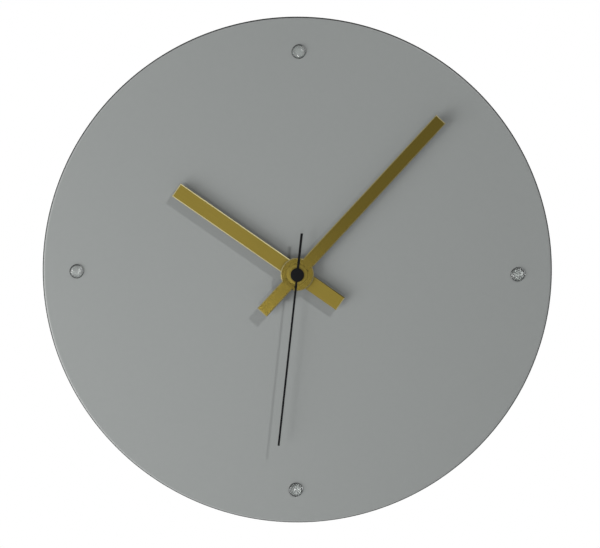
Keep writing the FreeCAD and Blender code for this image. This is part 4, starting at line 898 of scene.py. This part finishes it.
@dataclass
class SecondHandBoss:
    """The round black boss over the second arbor."""

    radius: float = 4.0 * MM
    rear: float = 31.3 * MM
    front: float = 32.6 * MM
    rounding: float = 0.45 * MM
    crown: float = 0.06 * MM
    rear_chamfer: float = 0.1 * MM
    slope_radius_share: float = 0.6
    slope_drop_share: float = 0.4
    top_radius_share: float = 0.25

    def build(self, wardrobe: Wardrobe) -> None:
        """Models, dresses and places the boss.

        Args:
            wardrobe: The built materials.
        """
        shoulder = self.front - self.crown - self.rounding
        slope = (self.radius * self.slope_radius_share, self.front - self.crown * self.slope_drop_share)
        profile = [(self.radius - self.rear_chamfer, self.rear), (self.radius, self.rear + self.rear_chamfer)]
        profile += arc((self.radius - self.rounding, shoulder), self.rounding, 0.0, 90.0, steps=6)
        profile += [slope, (self.radius * self.top_radius_share, self.front), (0.0, self.front)]
        boss = Bench.turned("second_hand_cap", profile, sides=72)
        Bench.smooth(boss)
        wardrobe.dress(boss, BLACK_HAND)
        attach(boss, "second_hand_body")
        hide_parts("second_hand_boss")
        report(boss)


@dataclass
class MinuteHandBush:
    """The stepped bush in the minute hand's eye."""

    bore: float = 1.75 * MM
    barrel: float = 3.0 * MM
    flange: float = 6.2 * MM
    ring: float = 4.6 * MM
    rear: float = 28.1 * MM
    hand_front: float = 29.1 * MM
    flange_front: float = 29.6 * MM
    front: float = 30.0 * MM
    rounding: float = 0.12 * MM

    def build(self, wardrobe: Wardrobe) -> None:
        """Models, dresses and places the bush.

        Args:
            wardrobe: The built materials.
        """
        edge = self.rounding
        profile = [(self.bore, self.rear), (self.barrel, self.rear), (self.barrel, self.hand_front),
                   (self.flange, self.hand_front)]
        profile += arc((self.flange - edge, self.flange_front - edge), edge, 0.0, 90.0, steps=3)
        profile += [(self.ring + edge, self.flange_front), (self.ring, self.flange_front + edge)]
        profile += arc((self.ring - edge, self.front - edge), edge, 0.0, 90.0, steps=3)
        profile += [(self.bore + edge, self.front), (self.bore, self.front - edge), profile[0]]
        bush = Bench.turned("minute_hand_ring", profile)
        Bench.smooth(bush)
        wardrobe.dress(bush, HAND_BUSH)
        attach(bush, "minute_hand_body")
        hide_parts("minute_hand_bush")
        report(bush)


@dataclass
class HourStuds:
    """The four clear domed studs."""

    radius: float = 4.2 * MM
    height: float = 1.6 * MM
    shoulder: float = 1.15 * MM
    crown: float = 18.0 * MM
    pitch_radius: float = 129.8 * MM
    roll: float = 0.4
    glue_gap: float = 0.02 * MM
    base_chamfer: float = 0.05 * MM
    hours: tuple[int, ...] = (12, 3, 6, 9)

    def build(self, wardrobe: Wardrobe) -> None:
        """Models one stud, copies it to each hour and dresses them.

        Args:
            wardrobe: The built materials.
        """
        face = -PLATE_FACE
        inner = self.radius - self.shoulder
        centre = face + self.height - self.crown
        reach = self.crown - self.shoulder
        shoulder_depth = centre + math.sqrt(reach ** 2 - inner ** 2)
        lean = math.degrees(math.acos(inner / reach))
        base = face + self.glue_gap
        profile = [(self.radius - self.base_chamfer, base), (self.radius, base + self.base_chamfer)]
        profile += arc((inner, shoulder_depth), self.shoulder, 0.0, lean, steps=10)
        profile += arc((0.0, centre), self.crown, lean, 90.0, steps=8)[1:-1]
        profile += [(0.0, face + self.height)]
        first = Bench.turned("stud", profile, sides=64)
        Bench.smooth(first, degrees=60.0)
        for hour in self.hours:
            stud = first.copy()
            stud.data = first.data.copy()
            stud.name = f"clear_stud_{hour}"
            bpy.context.scene.collection.objects.link(stud)
            angle = math.radians(hour * HOUR_ANGLE + self.roll)
            stud.location = (self.pitch_radius * math.sin(angle), 0.0, self.pitch_radius * math.cos(angle))
            Bench.pick(stud)
            Bench.fix_place()
            wardrobe.dress(stud, STUD)
            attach(stud, "clock")
            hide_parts(f"hour_marker_{hour}")
            report(stud)
        bpy.data.objects.remove(first)


@dataclass
class BushThread:
    """The last turns of the thread, where the bush stands out of its nut."""

    crest: float = 4.02 * MM
    root: float = 3.90 * MM
    inside: float = 3.80 * MM
    rear: float = 23.82 * MM
    pitch: float = 0.28 * MM
    turns: int = 3
    crest_shares: tuple[float, float] = (0.4, 0.6)

    def build(self, wardrobe: Wardrobe) -> None:
        """Models, dresses and places the thread.

        Args:
            wardrobe: The built materials.
        """
        profile = [(self.inside, self.rear), (self.root, self.rear)]
        for turn in range(self.turns):
            start = self.rear + turn * self.pitch
            profile += [(self.crest, start + self.pitch * share) for share in self.crest_shares]
            profile += [(self.root, start + self.pitch)]
        end = self.rear + self.turns * self.pitch
        profile += [(self.inside, end), (self.inside, self.rear)]
        thread = Bench.turned("bush_thread", profile, sides=72)
        Bench.smooth(thread, degrees=20.0)
        wardrobe.dress(thread, BRASS)
        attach(thread, "clock")
        report(thread)


@dataclass
class DressedCell:
    """The R6 cell as a sleeved can with a cap, a nub, a foot and an insulating ring, along X."""

    axis: Place = (0.0, -7.6 * MM, -19.43 * MM)
    radius: float = 7.1 * MM
    foot: float = -23.9 * MM
    shoulder: float = 25.3 * MM
    nub_end: float = 26.4 * MM
    nub_radius: float = 2.7 * MM
    sleeve_round: float = 0.6 * MM
    sleeve_wall: float = 0.2 * MM
    band_start: float = 13.0 * MM
    band_gap: float = 0.1 * MM
    disc_clearance: float = 0.1 * MM
    disc_edge: float = 0.3 * MM
    foot_shares: tuple[float, float, float] = (0.78, 0.74, 0.2)
    ring_gap: float = 0.6 * MM
    ring_slope: float = 0.1 * MM
    ring_depth: float = 0.05 * MM

    def build(self, wardrobe: Wardrobe) -> None:
        """Models, dresses and places the four pieces.

        Args:
            wardrobe: The built materials.
        """
        bend = self.sleeve_round
        inner = self.radius - self.sleeve_wall
        rim = inner - bend + self.disc_clearance
        foot = self.foot + self.sleeve_wall
        cap = self.shoulder - self.sleeve_wall
        profile = [(inner - bend, foot)]
        profile += arc((self.radius - bend, self.foot + bend), bend, -90.0, 0.0, steps=5)
        profile += [(self.radius, self.band_start), (self.radius, self.band_start + self.band_gap)]
        profile += arc((self.radius - bend, self.shoulder - bend), bend, 0.0, 90.0, steps=5)
        profile += [(inner - bend, cap), (inner, self.shoulder - bend), (inner, self.foot + bend), profile[0]]
        sleeve = self.settle(wardrobe, "cell_jacket", profile, CELL)
        sleeve.data.materials.append(wardrobe.get(CELL_BAND))
        for face in sleeve.data.polygons:
            face.material_index = int(face.center.x > self.band_start + self.band_gap / 2)
        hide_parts("battery_cell")
        self.build_foot(wardrobe, rim, foot)
        self.build_cap(wardrobe, rim, cap)
        self.build_ring(wardrobe, rim, cap)

    def build_foot(self, wardrobe: Wardrobe, rim: float, foot: float) -> None:
        """Models the metal foot.

        Args:
            wardrobe: The built materials.
            rim: Its radius.
            foot: Place of its rim along X.
        """
        outer, step, middle = (rim * share for share in self.foot_shares)
        profile = [(rim, foot + self.disc_edge), (rim, foot), (outer, foot), (step, self.foot),
                   (middle, self.foot), (0.0, self.foot)]
        self.settle(wardrobe, "cell_foot", profile, NICKEL)

    def build_cap(self, wardrobe: Wardrobe, rim: float, cap: float) -> None:
        """Models the metal cap with its nub.

        Args:
            wardrobe: The built materials.
            rim: Its radius.
            cap: Place of its rim along X.
        """
        edge = self.disc_edge
        profile = [(rim, cap - edge), (rim, cap), (self.nub_radius + edge, cap)]
        profile += [(self.nub_radius, cap + edge)]
        profile += arc((self.nub_radius - edge, self.nub_end - edge), edge, 0.0, 90.0, steps=4)
        self.settle(wardrobe, "cell_cap", profile + [(0.0, self.nub_end)], NICKEL)

    def build_ring(self, wardrobe: Wardrobe, rim: float, cap: float) -> None:
        """Models the insulating ring between nub and sleeve.

        Args:
            wardrobe: The built materials.
            rim: Radius of the cap.
            cap: Place of the cap's rim along X.
        """
        top = self.shoulder - self.ring_depth
        inside, outside = self.nub_radius + self.ring_gap, rim - self.ring_gap
        profile = [(inside, cap), (outside, cap), (outside - self.ring_slope, top),
                   (inside + self.ring_slope, top), (inside, cap)]
        self.settle(wardrobe, "cell_ring", profile, RUBBER)

    def settle(self, wardrobe: Wardrobe, name: str, profile: Profile, finish: Finish) -> Piece:
        """Turns one piece of the cell, lays it along X and dresses it.

        Args:
            wardrobe: The built materials.
            name: Name of the piece.
            profile: Its radii and places along X.
            finish: Its finish.

        Returns:
            The piece.
        """
        piece = Bench.turned(name, profile, sides=72)
        Bench.lay_along_x(piece, self.axis)
        Bench.smooth(piece)
        wardrobe.dress(piece, finish)
        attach(piece, "clock")
        report(piece)
        return piece


@dataclass
class CoverSigns:
    """Raised signs on the movement's back: an arrow round the knob, and plus and minus by the bay."""

    knob: Point = (18.15 * MM, 2.39 * MM)
    arrow_radius: float = 7.5 * MM
    arrow_width: float = 0.7 * MM
    arrow_start_share: float = 0.1
    arrow_end_share: float = 0.5
    arrow_reach_share: float = 2.0
    head_width: float = 2.2 * MM
    head_length_share: float = 1.1
    sign_place: Point = (22.3 * MM, -8.6 * MM)
    sign_size: float = 2.6 * MM
    stroke: float = 0.5 * MM
    sunk: float = 0.2 * MM
    height: float = 0.1 * MM

    def build(self, wardrobe: Wardrobe) -> None:
        """Models, dresses and places the signs.

        Args:
            wardrobe: The built materials.
        """
        x, z = self.sign_place
        half, line = self.sign_size / 2, self.stroke / 2
        plus = self.bar("cell_plus_sign", (x - half, z - line), (x + half, z + line))
        Bench.combine(plus, self.bar("upright", (x - line, z - half), (x + line, z + half)), "UNION")
        minus = self.bar("cell_minus_sign", (-x - half, z - line), (-x + half, z + line))
        for piece in (self.arrow(), plus, minus):
            wardrobe.dress(piece, SIGN_PRINT)
            Bench.smooth(piece, CRISP_ANGLE)
            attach(piece, "clock")
            report(piece)

    def bar(self, name: str, low: Point, high: Point) -> Piece:
        """Adds one stroke between its lower and its upper corner in x and z."""
        return Bench.flat_bar(name, (low[0], -self.sunk, low[1]), (high[0], self.height, high[1]))

    def arrow(self) -> Piece:
        """Makes the curved arrow: a quarter ring with a head that points down.

        Returns:
            The arrow.
        """
        x, z = self.knob
        radius, width = self.arrow_radius, self.arrow_width
        start = z + radius * self.arrow_start_share
        reach = radius * self.arrow_reach_share
        ring = Bench.round_bar("setting_arrow", radius + width / 2, -self.height, self.sunk, self.knob)
        hole = Bench.round_bar("hole", radius - width / 2, -CUT_OVERRUN, CUT_OVERRUN, self.knob)
        Bench.combine(ring, hole, "DIFFERENCE")
        quarter = Bench.flat_bar("quarter", (x - reach, -CUT_OVERRUN, start),
                                 (x + radius * self.arrow_end_share, CUT_OVERRUN, z + reach))
        Bench.combine(ring, quarter, "INTERSECT")
        bpy.ops.object.select_all(action="DESELECT")
        head_radius = self.head_width / math.sqrt(3.0) * self.head_length_share
        bpy.ops.mesh.primitive_cylinder_add(vertices=3, radius=head_radius, depth=self.height + self.sunk,
                                            location=(x - radius, (self.height - self.sunk) / 2, start),
                                            rotation=(math.pi / 2, math.pi, 0.0))
        head = Bench.settle(bpy.context.active_object, "head")
        Bench.combine(ring, head, "UNION")
        return ring


def dress_frame(frame: dict, wardrobe: Wardrobe) -> None:
    """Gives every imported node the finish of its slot.

    Args:
        wardrobe: The built materials.
    """
    for row in frame["record"]["subparts"]:
        name = row["node"]
        finish = NODE_FINISHES.get(name) or SLOT_FINISHES[row["material_slot"]]
        wardrobe.dress(frame["nodes"][name], finish)
        LOG.info("%s: %s", name, finish.name)


@dataclass(frozen=True)
class Lamp:
    """A square area lamp that points at the clock, in metres and watts."""

    name: str
    place: Place
    size: float
    power: float

    def build(self) -> None:
        """Adds the lamp."""
        data = bpy.data.lights.new(self.name, "AREA")
        data.size = self.size
        data.energy = self.power
        lamp = bpy.data.objects.new(self.name, data)
        lamp.location = self.place
        lamp.rotation_euler = (-Vector(self.place)).to_track_quat("-Z", "Y").to_euler()
        bpy.context.scene.collection.objects.link(lamp)


LAMPS = (
    Lamp("soft_left", (-0.87, -0.66, -0.43), 0.80, 9.8),
    Lamp("left_front", (-0.75, -1.20, -0.10), 0.40, 3.0),
    Lamp("low_front", (-0.08, -1.38, -0.30), 0.10, 1.0),
    Lamp("key_upper_right", (0.9, -1.34, 1.18), 0.09, 12.0),
    Lamp("back_right", (1.5, 1.9, 0.7), 1.6, 23.0),
    Lamp("back_left", (-1.6, 1.8, 0.5), 1.6, 23.0),
)


@dataclass
class Studio:
    """Camera, lights, floor and background."""

    camera_distance: float = 1.50
    camera_rise: float = 6.8
    lens: float = 152.9
    sensor_width: float = 36.0
    clip_start: float = 0.01
    aim: Place = (1.6 * MM, PLATE_FACE, -0.7 * MM)
    floor_place: Place = (0.0, -0.85, -1.0)
    floor_size: float = 3.4
    floor_tone: float = 0.82
    floor_roughness: float = 0.7
    fill_strength: float = 0.06

    def build(self) -> None:
        """Sets up the whole studio."""
        self.add_camera()
        self.add_floor()
        self.light_world()
        for lamp in LAMPS:
            lamp.build()

    def add_camera(self) -> None:
        """Places the camera in front and a little above."""
        rise = math.radians(self.camera_rise)
        target = Vector(self.aim)
        place = target + self.camera_distance * Vector((0.0, -math.cos(rise), math.sin(rise)))
        data = bpy.data.cameras.new("photo_camera")
        data.lens = self.lens
        data.sensor_fit = "HORIZONTAL"
        data.sensor_width = self.sensor_width
        data.clip_start = self.clip_start
        camera = bpy.data.objects.new("photo_camera", data)
        camera.location = place
        camera.rotation_euler = (target - place).to_track_quat("-Z", "Y").to_euler()
        bpy.context.scene.collection.objects.link(camera)
        bpy.context.scene.camera = camera

    def add_floor(self) -> None:
        """Lays the plain pale floor, well below the clock."""
        bpy.ops.mesh.primitive_plane_add(size=self.floor_size, location=self.floor_place)
        floor = Bench.settle(bpy.context.active_object, "floor")
        material = bpy.data.materials.new("pale_floor")
        graph = blank_graph(material)
        tone = (self.floor_tone, self.floor_tone, self.floor_tone)
        shader = graph.add("ShaderNodeBsdfPrincipled", Base_Color=opaque(tone),
                           Roughness=self.floor_roughness)
        graph.add("ShaderNodeOutputMaterial", Surface=shader.outputs[0])
        floor.data.materials.append(material)

    def light_world(self) -> None:
        """Makes the background white to camera, metal and glass, and a dim, even fill to the rest."""
        world = bpy.data.worlds.new("white_world")
        bpy.context.scene.world = world
        graph = blank_graph(world)
        rays = graph.add("ShaderNodeLightPath").outputs
        seen = graph.maths("ADD", rays["Is Camera Ray"], rays["Is Transmission Ray"], clamp=True)
        seen = graph.maths("ADD", seen, rays["Is Glossy Ray"], clamp=True)
        strength = graph.span(seen, 0.0, 1.0, self.fill_strength, 1.0)
        ground = graph.add("ShaderNodeBackground", Color=(1.0, 1.0, 1.0, 1.0), Strength=strength)
        graph.add("ShaderNodeOutputWorld", Surface=ground.outputs[0])


def main() -> None:
    """Builds the looks of the clock in order."""
    logging.basicConfig(level=logging.INFO, format="%(name)s: %(message)s")
    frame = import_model()
    bpy.ops.object.select_all(action="DESELECT")
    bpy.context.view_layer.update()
    bpy.context.scene.view_settings.view_transform = "Standard"
    wardrobe = Wardrobe(Effects())
    dress_frame(frame, wardrobe)
    RoundPlate().build(wardrobe)
    FlatHand(name="hour_hand", body="hour_hand_body", length=86.2 * MM, tail=31.0 * MM, width=9.0 * MM,
             eye_diameter=19.0 * MM, bore=3.3 * MM, rear=25.7 * MM, turn=HOUR_HAND_TURN, face=HOUR_HAND,
             cut=CUT_EDGE).build(wardrobe)
    FlatHand(name="minute_hand", body="minute_hand_body", length=123.4 * MM, tail=30.6 * MM,
             width=7.5 * MM, eye_diameter=19.5 * MM, bore=3.0 * MM, rear=28.1 * MM, turn=MINUTE_HAND_TURN,
             face=MINUTE_HAND, cut=MINUTE_CUT_EDGE).build(wardrobe)
    MinuteHandBush().build(wardrobe)
    SecondHandBoss().build(wardrobe)
    HourStuds().build(wardrobe)
    BushThread().build(wardrobe)
    DressedCell().build(wardrobe)
    CoverSigns().build(wardrobe)
    Studio().build()


if __name__ == "__main__":
    main()
